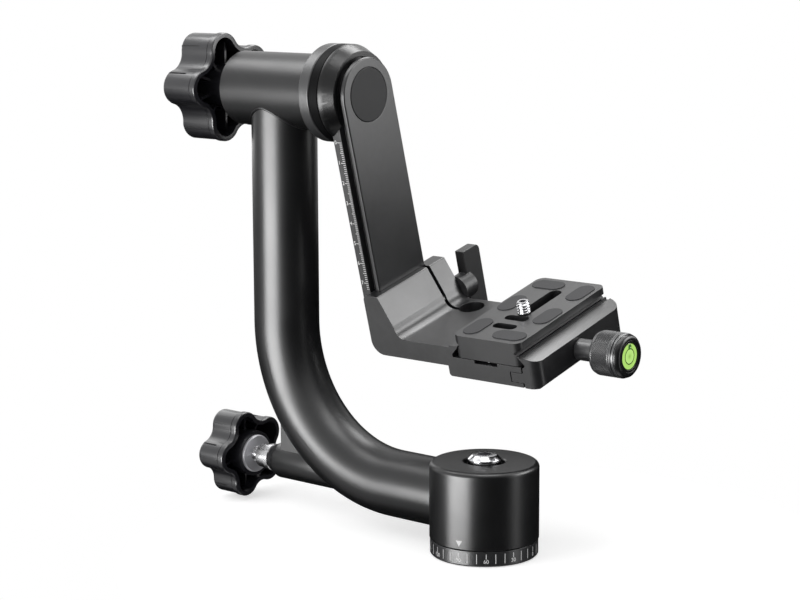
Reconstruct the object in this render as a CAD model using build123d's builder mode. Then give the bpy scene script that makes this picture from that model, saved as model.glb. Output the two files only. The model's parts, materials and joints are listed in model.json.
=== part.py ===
from build123d import *
import os
from math import atan2, cos, degrees, radians, sin, sqrt

# Gimbal tripod head. Millimetres, +Z up. The origin is the centre of the tripod socket in
# the bottom face, on the pan axis. +X runs along the tilt axis, from the J-shaped arm
# towards the clamp knob, and +Y is the way that the lens points.

# ---------------------------------------------------------------- driving dimensions
# Pan base and drum, about the vertical pan axis
ring_radius = 24.7          # degree ring of the base plate
ring_height = 7.0
drum_radius = 25.0
drum_bottom = 7.3
drum_top = 42.55
drum_edge = 2.5             # round on the drum's top edge
socket_radius = 4.78        # 3/8"-16 tripod thread, drawn plain at its major radius
socket_length = 12.5
flange_radius = 16.0        # spindle flange let into the base plate
flange_bottom = 4.05
head_radius = 7.6           # large cap screw on top of the drum
head_top = 45.7
head_slope = 1.6
recess_radius = 9.5

# Bearings, the same size on the pan and tilt axes
bearing_bore = 8.5
bearing_outer = 13.0
bearing_width = 5.0
inner_race = 10.1
outer_race = 11.4
ball_radius = 1.15
ball_groove = 1.25
ball_circle = 10.75
ball_count = 12
pan_bearings = (9.8, 32.0)          # heights of the bearings' lower faces
tilt_bearings = (-131.0, -91.5)     # X of the bearings' left faces

# J-shaped arm tube
tube_radius = 15.75
tube_wall = 3.0
bend_radius = 70.0
upright_x = -121.8          # X of the vertical run's axis
lock_z = 23.47              # height of the horizontal run's axis, and of the pan lock
socket_x = -19.5            # end of the tube inside the drum
boss_radius = 9.0           # boss that carries the pan lock
boss_end = -130.0
boss_mouth = 6.7            # radius of the boss's end face
boss_taper = 5.4
boss_root = -88.0
web_width = 12.6
web_x = -121.0
web_top = 46.0
web_top_length = 12.0
web_foot_length = 26.0

# Tilt axis
tilt_z = 204.8
tilt_rest = 15.0            # swing of the cradle at rest, in degrees
housing_radius = 17.67
housing_left = -148.0
housing_right = -86.2
collar_radius = 22.9
fixed_ring = (-91.6, -85.2)
dial_ring = (-84.9, -79.5)
flange_ring = (-79.4, -72.3)
flange_front_radius = 19.8

# Lock knobs
lobes = 5
knob_wall = 1.8
knob_floor = 2.4
rim_band = 3.2
hub_radius = 9.3
hub_seat = 4.0              # floor of the hub's seat, from the knob's back
stud_hole = 4.0             # hole in the hub
stud_radius = 6.0           # bright shank between the hub and the arm
thread_radius = 4.95        # M10 x 1.5
thread_hole = 5.0

# Swing arm, in cradle coordinates: x along the tilt axis, y and z turning with the cradle,
# both measured from the tilt axis
plate_back = -79.4
groove_back = -74.3
groove_front = -70.3
plate_front = -68.1
plate_half = 17.2
plate_bottom = -118.0
groove_depth = 3.5
groove_mid = (groove_back + groove_front) / 2
cap_radius = 12.65
cap_seat, cap_proud = 1.2, 0.15
head_seat = 6.2             # seat of the main screw's head, below the arm's face

# Platform bracket
bracket_near = -23.5
bracket_far = 28.0
lip_back = -73.6
leg_front = -64.8
leg_top = -91.4
slope_x, slope_z = -58.2, -105.2
floor_left = -56.2
floor_top = -111.7
floor_bottom = -121.4
through = 40.0              # longer than any cut through the platform
slip = 0.15                 # slack between the bracket's channel and the arm
slit_y = 15.5
slit_width = 2.0
relief_x, relief_y, relief_radius = -45.0, 19.0, 6.2
lever_x, lever_z = -61.0, -108.5
lever_far = 38.0

# Quick-release clamp and plate
clamp_near, clamp_far = -28.0, 42.0
clamp_left = -24.0
clamp_right = 18.3
clamp_bottom = -123.9
clamp_floor = -114.0
jaw_top = -108.3
lip_tip = 16.9              # half width between the jaws' lips
lip_drop = 0.6
v_depth = 3.6
jaw_wall = 19.1
jaw_outer = 27.5
jaw_shoulder = -111.0
jaw_corner = -122.4
jaw_base = -124.0
tongue_tip = 12.2
tongue_top, tongue_bottom = -116.9, -121.6
guide_y = (-17.0, 25.0)
guide_z = -119.25
guide_radius = 1.5
screw_y, screw_z = 4.0, -117.6
clamp_screw_radius = 2.42
clamp_screw_hole = 2.5
plate_width = 38.0
plate_top = -102.7
plate_base = -113.7
mid_y = 7.0                 # middle of the clamp and of the plate

# ---------------------------------------------------------------- planes
cradle = Plane(
    origin=(0, 0, tilt_z),
    x_dir=(1, 0, 0),
    z_dir=(0, -sin(radians(tilt_rest)), cos(radians(tilt_rest))),
)


def facing_x(x, z=tilt_z):
    """Plane across an axis along X at height z: its own x is +Y and its normal is +X."""
    return Plane(origin=(x, 0, z), x_dir=(0, 1, 0), z_dir=(1, 0, 0))


def across(x, y=0, z=0):
    """Cradle plane across the tilt axis: sketched in (y, z), its normal is +X."""
    return Plane(
        origin=cradle.from_local_coords(Vector(x, y, z)),
        x_dir=cradle.y_dir,
        z_dir=cradle.x_dir,
    )


def along(y, x=0, z=0):
    """Cradle plane across the lens direction: sketched in (x, z), its normal is -y."""
    return Plane(
        origin=cradle.from_local_coords(Vector(x, y, z)),
        x_dir=cradle.x_dir,
        z_dir=-cradle.y_dir,
    )


def level(z, x=0, y=0):
    """Cradle plane parallel to the platform: sketched in (x, y), its normal is up."""
    return Plane(
        origin=cradle.from_local_coords(Vector(x, y, z)),
        x_dir=cradle.x_dir,
        z_dir=cradle.z_dir,
    )


# ---------------------------------------------------------------- shared shapes
def turn(plane, radius, length, mode=Mode.ADD):
    """A turned disc or rod on a plane, of the given length along the plane's normal."""
    with BuildSketch(plane) as circle:
        Circle(radius)
    extrude(circle.sketch, amount=length, mode=mode)


def turn_ring(plane, outer, inner, length, mode=Mode.ADD):
    """A turned ring on a plane."""
    with BuildSketch(plane) as ring:
        Circle(outer)
        Circle(inner, mode=Mode.SUBTRACT)
    extrude(ring.sketch, amount=length, mode=mode)


def hex_socket(plane, across_flats, depth):
    """A hexagon socket cut below a plane."""
    with BuildSketch(plane) as hexagon:
        RegularPolygon(across_flats / 2, 6, major_radius=False)
    extrude(hexagon.sketch, amount=-depth, mode=Mode.SUBTRACT)


def countersunk(plane, thread, head, length, socket):
    """A countersunk screw with its head's face on a plane, pointing against the normal."""
    head_depth = head - thread
    with BuildSketch(plane) as face:
        Circle(head)
    extrude(face.sketch, amount=-head_depth, taper=45)
    turn(plane.offset(-length), thread, length)
    hex_socket(plane, socket, head_depth * 0.7)


def countersink(plane, thread, head, length):
    """The hole for a countersunk screw, with a little room all round."""
    room = 0.05
    head_depth = head - thread
    with BuildSketch(plane) as face:
        Circle(head + 3 * room)
    extrude(face.sketch, amount=-head_depth - 2 * room, taper=45, mode=Mode.SUBTRACT)
    turn(plane.offset(-length - room), thread + room, length + room, Mode.SUBTRACT)


def race(plane, outer, inner):
    """One bearing race, with the groove that its balls run in."""
    turn_ring(plane, outer, inner, bearing_width)
    with Locations(plane.offset(bearing_width / 2)):
        Torus(ball_circle, ball_groove, mode=Mode.SUBTRACT)


def balls(plane):
    """The balls of one bearing."""
    with Locations(plane.offset(bearing_width / 2)):
        with PolarLocations(ball_circle, ball_count):
            Sphere(ball_radius)


def stadium(plane, x, y, length, width, depth, turned=0, mode=Mode.ADD):
    """A round-ended slot or pad: length along x, or along y when turned by 90 degrees."""
    with BuildSketch(plane) as slot:
        with Locations((x, y)):
            SlotOverall(length, width, rotation=turned)
    extrude(slot.sketch, amount=depth, mode=mode)


os.makedirs("parts", exist_ok=True)

# ================================================================ base: stands on the tripod
base_screw_circle = 12.6
base_screw_radius = 1.5
base_screw_head = 2.8
base_screw_length = 6.0
base_screw_socket = 2.0
base_screw_seats = [
    Plane(
        origin=(base_screw_circle * cos(radians(turned)), base_screw_circle * sin(radians(turned)), 0),
        x_dir=(1, 0, 0),
        z_dir=(0, 0, -1),
    )
    for turned in (0, 120, 240)
]
pad_inner, pad_outer, pad_depth = 16.5, 23.0, 1.2
centre_bore = 9.0
spindle_foot = 0.3
spindle_shoulder = 10.0
spindle_step = pan_bearings[0]
spindle_top = pan_bearings[1] + bearing_width - 0.2
screw_bore = 4.0            # M8 thread of the two main screws
screw_bore_bottom = 20.0
bush_radius = 7.0
sleeve_outer = 10.3
washer_outer, washer_bore, washer_top = 9.2, 4.2, 38.6
cap_screw_end = 22.0
cap_hex, cap_hex_depth = 6.0, 3.6

# Base plate: the lowest disc, whose rim is the degree ring
with BuildPart() as base_plate:
    turn(Plane.XY, ring_radius, ring_height)
    chamfer(base_plate.edges().filter_by(GeomType.CIRCLE).group_by(Axis.Z)[0], 0.6)
    turn(Plane.XY.offset(flange_bottom), flange_radius + 0.05, ring_height, Mode.SUBTRACT)
    turn(Plane.XY, centre_bore, flange_bottom, Mode.SUBTRACT)
    turn_ring(Plane.XY, pad_outer, pad_inner, pad_depth, Mode.SUBTRACT)
    for seat in base_screw_seats:
        countersink(seat, base_screw_radius, base_screw_head, flange_bottom)

# Rubber ring in the bottom face
with BuildPart() as base_pad:
    turn_ring(Plane.XY, pad_outer - 0.05, pad_inner + 0.05, pad_depth)

# Pan spindle: flange on the base plate, shaft up through both bearings
with BuildPart() as pan_spindle:
    turn(Plane.XY.offset(spindle_foot), centre_bore - 0.05, flange_bottom - spindle_foot)
    turn(Plane.XY.offset(flange_bottom), flange_radius, ring_height - flange_bottom)
    turn(Plane.XY.offset(ring_height), spindle_shoulder, spindle_step - ring_height)
    turn(Plane.XY.offset(spindle_step), bearing_bore, spindle_top - spindle_step)
    turn(Plane.XY.offset(spindle_foot), bush_radius, socket_length, Mode.SUBTRACT)
    bore_length = spindle_top - screw_bore_bottom
    turn(Plane.XY.offset(screw_bore_bottom), screw_bore, bore_length, Mode.SUBTRACT)
    base_screw_hole = base_screw_length + 0.25 - flange_bottom
    for seat in base_screw_seats:
        turn(seat.offset(-flange_bottom), base_screw_radius, -base_screw_hole, Mode.SUBTRACT)

# Tripod bushing: steel thread insert in the bottom of the spindle
with BuildPart() as tripod_bushing:
    turn_ring(Plane.XY, bush_radius - 0.02, socket_radius, socket_length)
    chamfer(tripod_bushing.edges().filter_by(GeomType.CIRCLE).group_by(Axis.Z)[0], 0.4)

# Three countersunk screws from below, base plate to spindle flange
with BuildPart() as base_screws:
    for seat in base_screw_seats:
        countersunk(
            seat.offset(-0.1),
            base_screw_radius - 0.02,
            base_screw_head,
            base_screw_length,
            base_screw_socket,
        )

# Inner races of the two pan bearings
with BuildPart() as pan_inner_races:
    for height in pan_bearings:
        race(Plane.XY.offset(height), inner_race, bearing_bore)

# Brake sleeve between the bearings, which the pan lock presses on
with BuildPart() as pan_brake_sleeve:
    sleeve_bottom = pan_bearings[0] + bearing_width
    sleeve_length = pan_bearings[1] - sleeve_bottom
    turn_ring(Plane.XY.offset(sleeve_bottom), sleeve_outer, bearing_bore, sleeve_length)

# Washer and large cap screw that close the pan axis
with BuildPart() as pan_top_washer:
    washer_bottom = pan_bearings[1] + bearing_width
    turn_ring(Plane.XY.offset(washer_bottom), washer_outer, washer_bore, washer_top - washer_bottom)

with BuildPart() as pan_top_screw:
    turn(Plane.XY.offset(washer_top), head_radius, head_top - washer_top)
    chamfer(pan_top_screw.edges().group_by(Axis.Z)[-1], head_slope)
    hex_socket(Plane.XY.offset(head_top), cap_hex, cap_hex_depth)
    turn(Plane.XY.offset(cap_screw_end), screw_bore - 0.05, washer_top - cap_screw_end)

# ================================================================ arm: turns about the pan axis
chamber_radius = bearing_outer
spacer_inner = 11.7
pad_hole = 4.2
clip_bottom, clip_thick, clip_gap = 8.3, 1.1, 6.0
clip_outer, clip_inner = 13.8, 11.6
end_ring_bore = 12.2

# Drum: houses the pan bearings and takes the end of the tube
with BuildPart() as pan_housing:
    turn(Plane.XY.offset(drum_bottom), drum_radius, drum_top - drum_bottom)
    fillet(pan_housing.edges().filter_by(GeomType.CIRCLE).group_by(Axis.Z)[-1], drum_edge)
    chamfer(pan_housing.edges().filter_by(GeomType.CIRCLE).group_by(Axis.Z)[0], 0.4)
    turn(
        Plane.XY.offset(drum_bottom),
        chamber_radius,
        pan_bearings[1] + bearing_width - drum_bottom,
        Mode.SUBTRACT,
    )
    turn(Plane.XY.offset(drum_bottom), recess_radius, drum_top, Mode.SUBTRACT)
    chamfer(pan_housing.edges().filter_by(GeomType.CIRCLE).group_by(Axis.Z)[-1], 0.5)
    turn_ring(
        Plane.XY.offset(clip_bottom - 0.1),
        clip_outer + 0.1,
        chamber_radius - 1,
        clip_thick + 0.2,
        Mode.SUBTRACT,
    )
    turn(facing_x(socket_x, lock_z), tube_radius + 0.01, -drum_radius, Mode.SUBTRACT)
    turn(facing_x(0, lock_z), pad_hole, -drum_radius, Mode.SUBTRACT)

# Outer races, balls, spacer and retaining clip inside the drum
with BuildPart() as pan_outer_races:
    for height in pan_bearings:
        race(Plane.XY.offset(height), chamber_radius - 0.01, outer_race)

with BuildPart() as pan_bearing_balls:
    for height in pan_bearings:
        balls(Plane.XY.offset(height))

with BuildPart() as pan_spacer:
    turn_ring(
        Plane.XY.offset(sleeve_bottom),
        chamber_radius - 0.01,
        spacer_inner,
        sleeve_length,
    )
    turn(facing_x(0, lock_z), pad_hole, -drum_radius, Mode.SUBTRACT)

with BuildPart() as pan_retaining_clip:
    turn_ring(Plane.XY.offset(clip_bottom), clip_outer, clip_inner, clip_thick)
    with BuildSketch(Plane.XY.offset(clip_bottom)):
        with Locations((clip_outer, 0)):
            Rectangle(2 * (clip_outer - clip_inner) + 2, clip_gap)
    extrude(amount=clip_thick, mode=Mode.SUBTRACT)

# J-shaped tube: one bent tube with the pan lock's boss and web cast on
with BuildPart() as arm_tube:
    with BuildLine(Plane.XZ) as arm_path:
        bend_x = upright_x + bend_radius
        bend_z = lock_z + bend_radius
        Line((socket_x, lock_z), (bend_x, lock_z))
        RadiusArc((bend_x, lock_z), (upright_x, bend_z), bend_radius)
        Line((upright_x, bend_z), (upright_x, tilt_z))
    with BuildSketch(Plane(origin=(socket_x, 0, lock_z), z_dir=(-1, 0, 0))):
        Circle(tube_radius)
    sweep()
    with BuildSketch(Plane.XZ):
        with BuildLine():
            Polyline(
                (boss_end, lock_z),
                (boss_end, lock_z + boss_mouth),
                (boss_end + boss_taper, lock_z + boss_radius),
                (boss_root, lock_z + boss_radius),
                (boss_root, lock_z),
                close=True,
            )
        make_face()
    revolve(axis=Axis((0, 0, lock_z), (1, 0, 0)))
    with BuildSketch(Plane.XZ):
        with BuildLine():
            Polyline(
                (web_x, lock_z),
                (web_x, web_top),
                (web_x + web_top_length, web_top),
                (web_x + web_foot_length, lock_z),
                close=True,
            )
        make_face()
    extrude(amount=web_width / 2, both=True)
    with BuildSketch(Plane(origin=(socket_x, 0, lock_z), z_dir=(-1, 0, 0))) as tube_hollow:
        Circle(tube_radius - tube_wall)
    sweep(tube_hollow.sketch, path=arm_path.wires()[0], mode=Mode.SUBTRACT)
    turn(facing_x(boss_end, lock_z), thread_hole, bend_x - boss_end, Mode.SUBTRACT)
    turn(facing_x(housing_left), housing_radius + 0.01, housing_right - housing_left, Mode.SUBTRACT)

# Tilt housing: the short tube across the top of the arm
plug_right = -139.0
plug_radius = 13.8
with BuildPart() as tilt_housing:
    turn(facing_x(housing_left), housing_radius, housing_right - housing_left)
    chamfer(tilt_housing.edges().filter_by(GeomType.CIRCLE).group_by(Axis.X)[0], 0.6)
    turn(facing_x(plug_right), chamber_radius, housing_right - plug_right, Mode.SUBTRACT)
    turn(facing_x(housing_left), plug_radius, plug_right - housing_left, Mode.SUBTRACT)

# Fixed collar at the housing's right end, which keeps the bearing in
with BuildPart() as tilt_end_ring:
    turn(facing_x(fixed_ring[0]), collar_radius, fixed_ring[1] - fixed_ring[0])
    chamfer(tilt_end_ring.edges(), 0.5)
    turn(facing_x(fixed_ring[0]), end_ring_bore, fixed_ring[1] - fixed_ring[0], Mode.SUBTRACT)
    turn(facing_x(fixed_ring[0]), housing_radius + 0.01, housing_right - fixed_ring[0], Mode.SUBTRACT)

# Threaded plug in the housing's left end, which the lock stud screws through
with BuildPart() as tilt_end_plug:
    plug_left = housing_left + 0.4
    turn_ring(facing_x(plug_left), plug_radius - 0.01, thread_hole, plug_right - plug_left)

with BuildPart() as tilt_outer_races:
    for left in tilt_bearings:
        race(facing_x(left), chamber_radius - 0.01, outer_race)

with BuildPart() as tilt_bearing_balls:
    for left in tilt_bearings:
        balls(facing_x(left))

with BuildPart() as tilt_spacer:
    spacer_left = tilt_bearings[0] + bearing_width
    turn_ring(facing_x(spacer_left), chamber_radius - 0.01, spacer_inner, tilt_bearings[1] - spacer_left)

# ================================================================ lock knobs
# Pan lock: the rim's X, the knob's depth behind it, and its reach out to the lobes' tips
pan_knob = dict(rim=-146.0, z=lock_z, depth=17.7, reach=21.4, lobe=7.3, valley=6.6)
pan_hub_face = -143.0
pan_shank_left = -139.5
pan_shoulder = (-133.4, -130.6)
pan_stud_end = -98.0
rod_radius = 3.0
pan_rod_end = -13.6
pan_pad_end = -10.65        # 0.35 off the brake sleeve at rest

# Tilt lock, the larger knob
tilt_knob = dict(rim=-155.2, z=tilt_z, depth=22.7, reach=26.6, lobe=8.6, valley=8.4)
tilt_hub_face = -152.2
tilt_shank = 3.2
tilt_stud_end = -136.5
tilt_pad_radius = 8.0
tilt_pad_end = -133.35      # 0.35 off the spindle's end at rest


def lobed_outline(plane, reach, lobe, valley, offset=0.0):
    """Five round lobes joined by tangent hollows; a positive offset moves it inwards."""
    step = 360 / lobes
    lobe_at = reach - lobe
    half_step = radians(step / 2)
    across_lobe = lobe_at * cos(half_step)
    valley_at = across_lobe + sqrt(across_lobe**2 - lobe_at**2 + (lobe + valley) ** 2)
    contact = degrees(atan2(valley_at * sin(half_step), valley_at * cos(half_step) - lobe_at))
    with BuildSketch(plane) as outline:
        with BuildLine():
            for turned in range(lobes):
                angle = step * turned
                lobe_centre = Vector(lobe_at, 0).rotate(Axis.Z, angle)
                valley_centre = Vector(valley_at, 0).rotate(Axis.Z, angle + step / 2)
                CenterArc(lobe_centre, lobe - offset, angle - contact, 2 * contact)
                CenterArc(
                    valley_centre,
                    valley + offset,
                    angle + step / 2 + 180 - (contact - step / 2),
                    2 * contact - step,
                )
        make_face()
    return outline.sketch


def knob_plane(x, z):
    """Plane across a knob's axis whose own x points to -Y, where one lobe stands."""
    return Plane(origin=(x, 0, z), x_dir=(0, -1, 0), z_dir=(1, 0, 0))


def lobed_knob(rim, z, depth, reach, lobe, valley, hub_face):
    """A hollow moulded knob, open towards the arm, with a ribbed hub inside."""
    back = rim - depth
    back_round, rim_round, band_swell = 2.2, 0.7, 0.5
    slot_width, slot_depth = 0.8, 0.5
    boss, boss_drop = hub_radius + 1.9, 1.5
    rib_length, rib_thickness, rib_angle, rib_drop = reach, 1.2, 18, 5.5
    cut_angle, cut_width, cut_depth, cut_share = 55, 0.9, 1.1, 0.58
    extrude(lobed_outline(knob_plane(back, z), reach, lobe, valley), amount=depth)
    fillet(faces().sort_by(Axis.X)[0].edges(), back_round)
    band = knob_plane(rim - rim_band, z)
    extrude(lobed_outline(band, reach, lobe, valley, -band_swell), amount=rim_band)
    fillet(faces().sort_by(Axis.X)[-1].edges(), rim_round)
    with BuildSketch(band.offset(-slot_width)) as groove:
        add(lobed_outline(Plane.XY, reach, lobe, valley, -2 * band_swell))
        add(lobed_outline(Plane.XY, reach, lobe, valley, slot_depth), mode=Mode.SUBTRACT)
    extrude(groove.sketch, amount=slot_width, mode=Mode.SUBTRACT)
    floor = knob_plane(back + knob_floor, z)
    extrude(lobed_outline(floor, reach, lobe, valley, knob_wall), amount=depth, mode=Mode.SUBTRACT)
    turn(floor, boss, hub_face - boss_drop - back - knob_floor)
    for side in (-rib_angle, rib_angle):
        with BuildSketch(floor) as ribs:
            with PolarLocations(boss + rib_length / 2 - 1, lobes, start_angle=side):
                Rectangle(rib_length, rib_thickness)
            add(lobed_outline(Plane.XY, reach, lobe, valley, knob_wall / 2), mode=Mode.INTERSECT)
        extrude(ribs.sketch, amount=depth - knob_floor - rib_drop)
    turn(knob_plane(back + hub_seat, z), hub_radius, depth, Mode.SUBTRACT)
    for side in (-cut_angle, cut_angle):
        with BuildSketch(knob_plane(back - 1, z)) as cuts:
            for turned in range(lobes):
                angle = 360 / lobes * turned
                lobe_centre = Vector(reach - lobe, 0).rotate(Axis.Z, angle)
                cut = lobe_centre + Vector(lobe, 0).rotate(Axis.Z, angle + side)
                with Locations((cut.X, cut.Y)):
                    Rectangle(cut_depth, cut_width, rotation=angle + side)
        extrude(cuts.sketch, amount=1 + depth * cut_share, mode=Mode.SUBTRACT)


def hub_insert(back, z, face):
    """Metal hub moulded into a knob, with the stud's hole through it."""
    seat = back + hub_seat + 0.02
    turn_ring(facing_x(seat, z), hub_radius - 0.01, stud_hole, face - seat)
    chamfer(edges().filter_by(GeomType.CIRCLE).group_by(Axis.X)[-1].sort_by(SortBy.LENGTH)[-1], 0.5)


with BuildPart() as pan_lock_knob:
    lobed_knob(**pan_knob, hub_face=pan_hub_face)

with BuildPart() as pan_lock_hub:
    hub_insert(pan_knob["rim"] - pan_knob["depth"], lock_z, pan_hub_face)

# Stud: thin thread in the hub, bright shank, shoulder, then the thread in the boss
with BuildPart() as pan_lock_stud:
    stud_left = pan_knob["rim"] - pan_knob["depth"] + hub_seat + 0.1
    turn(facing_x(stud_left, lock_z), stud_hole - 0.05, pan_shank_left + 0.5 - stud_left)
    turn(facing_x(pan_shank_left, lock_z), stud_radius, pan_shoulder[0] - pan_shank_left)
    chamfer(pan_lock_stud.edges().filter_by(GeomType.CIRCLE).sort_by(Axis.X)[2], 0.8)
    turn(facing_x(pan_shoulder[0], lock_z), stud_radius + 0.6, pan_shoulder[1] - pan_shoulder[0])
    turn(facing_x(pan_shoulder[1], lock_z), thread_radius, pan_stud_end - pan_shoulder[1])

with BuildPart() as pan_lock_rod:
    turn(facing_x(pan_stud_end + 0.1, lock_z), rod_radius, pan_rod_end - pan_stud_end - 0.1)

with BuildPart() as pan_lock_pad:
    turn(facing_x(pan_rod_end, lock_z), pad_hole - 0.2, pan_pad_end - pan_rod_end)

with BuildPart() as tilt_lock_knob:
    lobed_knob(**tilt_knob, hub_face=tilt_hub_face)

with BuildPart() as tilt_lock_hub:
    hub_insert(tilt_knob["rim"] - tilt_knob["depth"], tilt_z, tilt_hub_face)

with BuildPart() as tilt_lock_stud:
    stud_left = tilt_knob["rim"] - tilt_knob["depth"] + hub_seat + 0.1
    shank_right = tilt_hub_face + tilt_shank
    turn(facing_x(stud_left), stud_hole - 0.05, tilt_hub_face + 0.4 - stud_left)
    turn(facing_x(tilt_hub_face), stud_radius, tilt_shank)
    turn(facing_x(shank_right), thread_radius, tilt_stud_end - shank_right)

with BuildPart() as tilt_lock_pad:
    turn(facing_x(tilt_stud_end + 0.1), tilt_pad_radius, tilt_pad_end - tilt_stud_end - 0.1)

# ================================================================ swing arm: turns about the tilt axis
spindle_left = -133.0
flange_screw_circle = 20.2
flange_screw_radius = 1.2
flange_screw_head = 2.2
flange_screw_length = 8.3
flange_screw_socket = 1.5
flange_screw_angles = (15, 105, 195)
flange_rim = 0.9
tilt_clip_left = -132.25
tilt_clip_outer, tilt_clip_inner = 10.4, 7.95
main_screw_reach = 16.0
main_head_radius, main_head_length = 6.5, 4.8
main_hex, main_hex_depth = 6.0, 3.0
stop_washer_radius, stop_washer_thick = 6.5, 1.4
stop_head_radius, stop_head_thick = 3.5, 1.8
stop_hole, stop_length = 2.0, 10.0
stop_hex, stop_hex_depth = 2.5, 1.5
slot_half = plate_half + 0.05
axis_line = Axis((0, 0, tilt_z), (1, 0, 0))


def flange_screw_seat(angle):
    """Where a flange screw's head sits in the dial ring's left face, facing left."""
    y = flange_screw_circle * cos(radians(angle))
    z = tilt_z + flange_screw_circle * sin(radians(angle))
    return Plane(origin=(dial_ring[0], y, z), x_dir=(0, 1, 0), z_dir=(-1, 0, 0))


with BuildPart() as tilt_inner_races:
    for left in tilt_bearings:
        race(facing_x(left), inner_race, bearing_bore)

with BuildPart() as tilt_inner_sleeve:
    turn_ring(facing_x(spacer_left), sleeve_outer - 0.1, bearing_bore, tilt_bearings[1] - spacer_left)

# Tilt spindle: shaft through both bearings, threaded for the main screw
with BuildPart() as tilt_spindle:
    shoulder_left = tilt_bearings[1] + bearing_width
    turn(facing_x(spindle_left), bearing_bore, shoulder_left - spindle_left)
    turn(facing_x(shoulder_left), spindle_shoulder, plate_back - 0.05 - shoulder_left)
    bore_left = plate_back - main_screw_reach - 4
    turn(facing_x(bore_left), screw_bore, plate_back - bore_left, Mode.SUBTRACT)
    turn_ring(
        facing_x(tilt_clip_left - 0.05),
        bearing_outer,
        tilt_clip_inner - 0.05,
        clip_thick + 0.1,
        Mode.SUBTRACT,
    )

with BuildPart() as tilt_retaining_clip:
    turn_ring(facing_x(tilt_clip_left), tilt_clip_outer, tilt_clip_inner, clip_thick)
    with BuildSketch(facing_x(tilt_clip_left)):
        with Locations((tilt_clip_outer, 0)):
            Rectangle(2 * (tilt_clip_outer - tilt_clip_inner) + 2, clip_gap)
    extrude(amount=clip_thick, mode=Mode.SUBTRACT)

# Dial ring on the spindle, next to the fixed collar
with BuildPart() as tilt_dial_ring:
    turn(facing_x(dial_ring[0]), collar_radius, dial_ring[1] - dial_ring[0])
    chamfer(tilt_dial_ring.edges(), 0.4)
    turn(facing_x(dial_ring[0]), spindle_shoulder + 0.01, dial_ring[1] - dial_ring[0], Mode.SUBTRACT)
    for angle in flange_screw_angles:
        countersink(flange_screw_seat(angle), flange_screw_radius, flange_screw_head, flange_screw_length)

# Tilt flange: coned collar with a slot that the top of the swing arm sits in
with BuildPart() as tilt_flange:
    with BuildSketch(Plane.XZ):
        with BuildLine():
            Polyline(
                (flange_ring[0], tilt_z),
                (flange_ring[0], tilt_z + collar_radius),
                (flange_ring[0] + flange_rim, tilt_z + collar_radius),
                (flange_ring[1], tilt_z + flange_front_radius),
                (flange_ring[1], tilt_z),
                close=True,
            )
        make_face()
    revolve(axis=axis_line)
    with BuildSketch(across(flange_ring[0])) as arm_slot:
        Circle(slot_half)
        with Locations((0, -collar_radius)):
            Rectangle(2 * slot_half, 2 * collar_radius)
    extrude(arm_slot.sketch, amount=flange_ring[1] - flange_ring[0], mode=Mode.SUBTRACT)
    with BuildSketch(facing_x(flange_ring[0])) as screw_holes:
        for angle in flange_screw_angles:
            with PolarLocations(flange_screw_circle, 1, start_angle=angle):
                Circle(flange_screw_radius)
    screw_hole_end = dial_ring[0] + flange_screw_length + 0.4
    extrude(screw_holes.sketch, amount=screw_hole_end - flange_ring[0], mode=Mode.SUBTRACT)

with BuildPart() as flange_screws:
    for angle in flange_screw_angles:
        countersunk(
            flange_screw_seat(angle).offset(-0.05),
            flange_screw_radius - 0.02,
            flange_screw_head,
            flange_screw_length,
            flange_screw_socket,
        )


def arm_outline(plane, inset=0.0):
    """The swing arm's outline: a half round about the tilt axis and two straight sides."""
    with BuildSketch(plane) as outline:
        Circle(plate_half - inset)
        with Locations((0, plate_bottom / 2)):
            Rectangle(2 * (plate_half - inset), -plate_bottom)
    return outline.sketch


# Swing arm: a flat bar with a groove milled round its edge for the platform's lips
with BuildPart() as swing_plate:
    extrude(arm_outline(across(plate_back)), amount=groove_back - plate_back)
    extrude(arm_outline(across(groove_back), groove_depth), amount=groove_front - groove_back)
    extrude(arm_outline(across(groove_front)), amount=plate_front - groove_front)
    chamfer(swing_plate.faces().sort_by(Axis.X)[-1].edges(), 0.5)
    turn(across(plate_back), washer_bore, plate_front - plate_back, Mode.SUBTRACT)
    turn(across(plate_front - head_seat), main_head_radius + 0.5, head_seat, Mode.SUBTRACT)
    turn(across(plate_front - cap_seat), cap_radius, cap_seat, Mode.SUBTRACT)
    turn(level(plate_bottom, groove_mid), stop_hole, stop_length + 2, Mode.SUBTRACT)

# Main screw, arm to spindle, and the cap disc over it
with BuildPart() as swing_screw:
    head_base = plate_front - head_seat
    turn(across(head_base), main_head_radius, main_head_length)
    hex_socket(across(head_base + main_head_length), main_hex, main_hex_depth)
    screw_left = plate_back - main_screw_reach
    turn(across(screw_left), screw_bore - 0.05, head_base - screw_left)

with BuildPart() as swing_cap:
    turn(across(plate_front - cap_seat), cap_radius - 0.05, cap_seat + cap_proud)
    chamfer(swing_cap.faces().sort_by(Axis.X)[-1].edges(), 0.25)

# Stop screw under the arm's lower end, which keeps the platform on
with BuildPart() as arm_stop_screw:
    stop_face = plate_bottom - stop_washer_thick - stop_head_thick
    turn(level(plate_bottom - stop_washer_thick, groove_mid), stop_washer_radius, stop_washer_thick)
    turn(level(stop_face, groove_mid), stop_head_radius, stop_head_thick)
    turn(level(plate_bottom, groove_mid), stop_hole - 0.05, stop_length)
    hex_socket(level(stop_face, groove_mid).rotated((180, 0, 0)), stop_hex, stop_hex_depth)

# ================================================================ platform: slides on the swing arm
mount_screws = ((-17, -8), (-17, 16), (-6, 4))
mount_head, mount_thread = 4.4, 2.4
mount_length, mount_socket = 7.0, 2.6
mount_hole_depth = 4.0
lever_screw_hole, lever_thread_hole, lever_thread_depth = 3.1, 3.0, 12.0
link_top = -117.4           # top of the bracket's tongue under the clamp
link_right = 3.0
link_near, link_far = -14.0, 22.0

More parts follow.
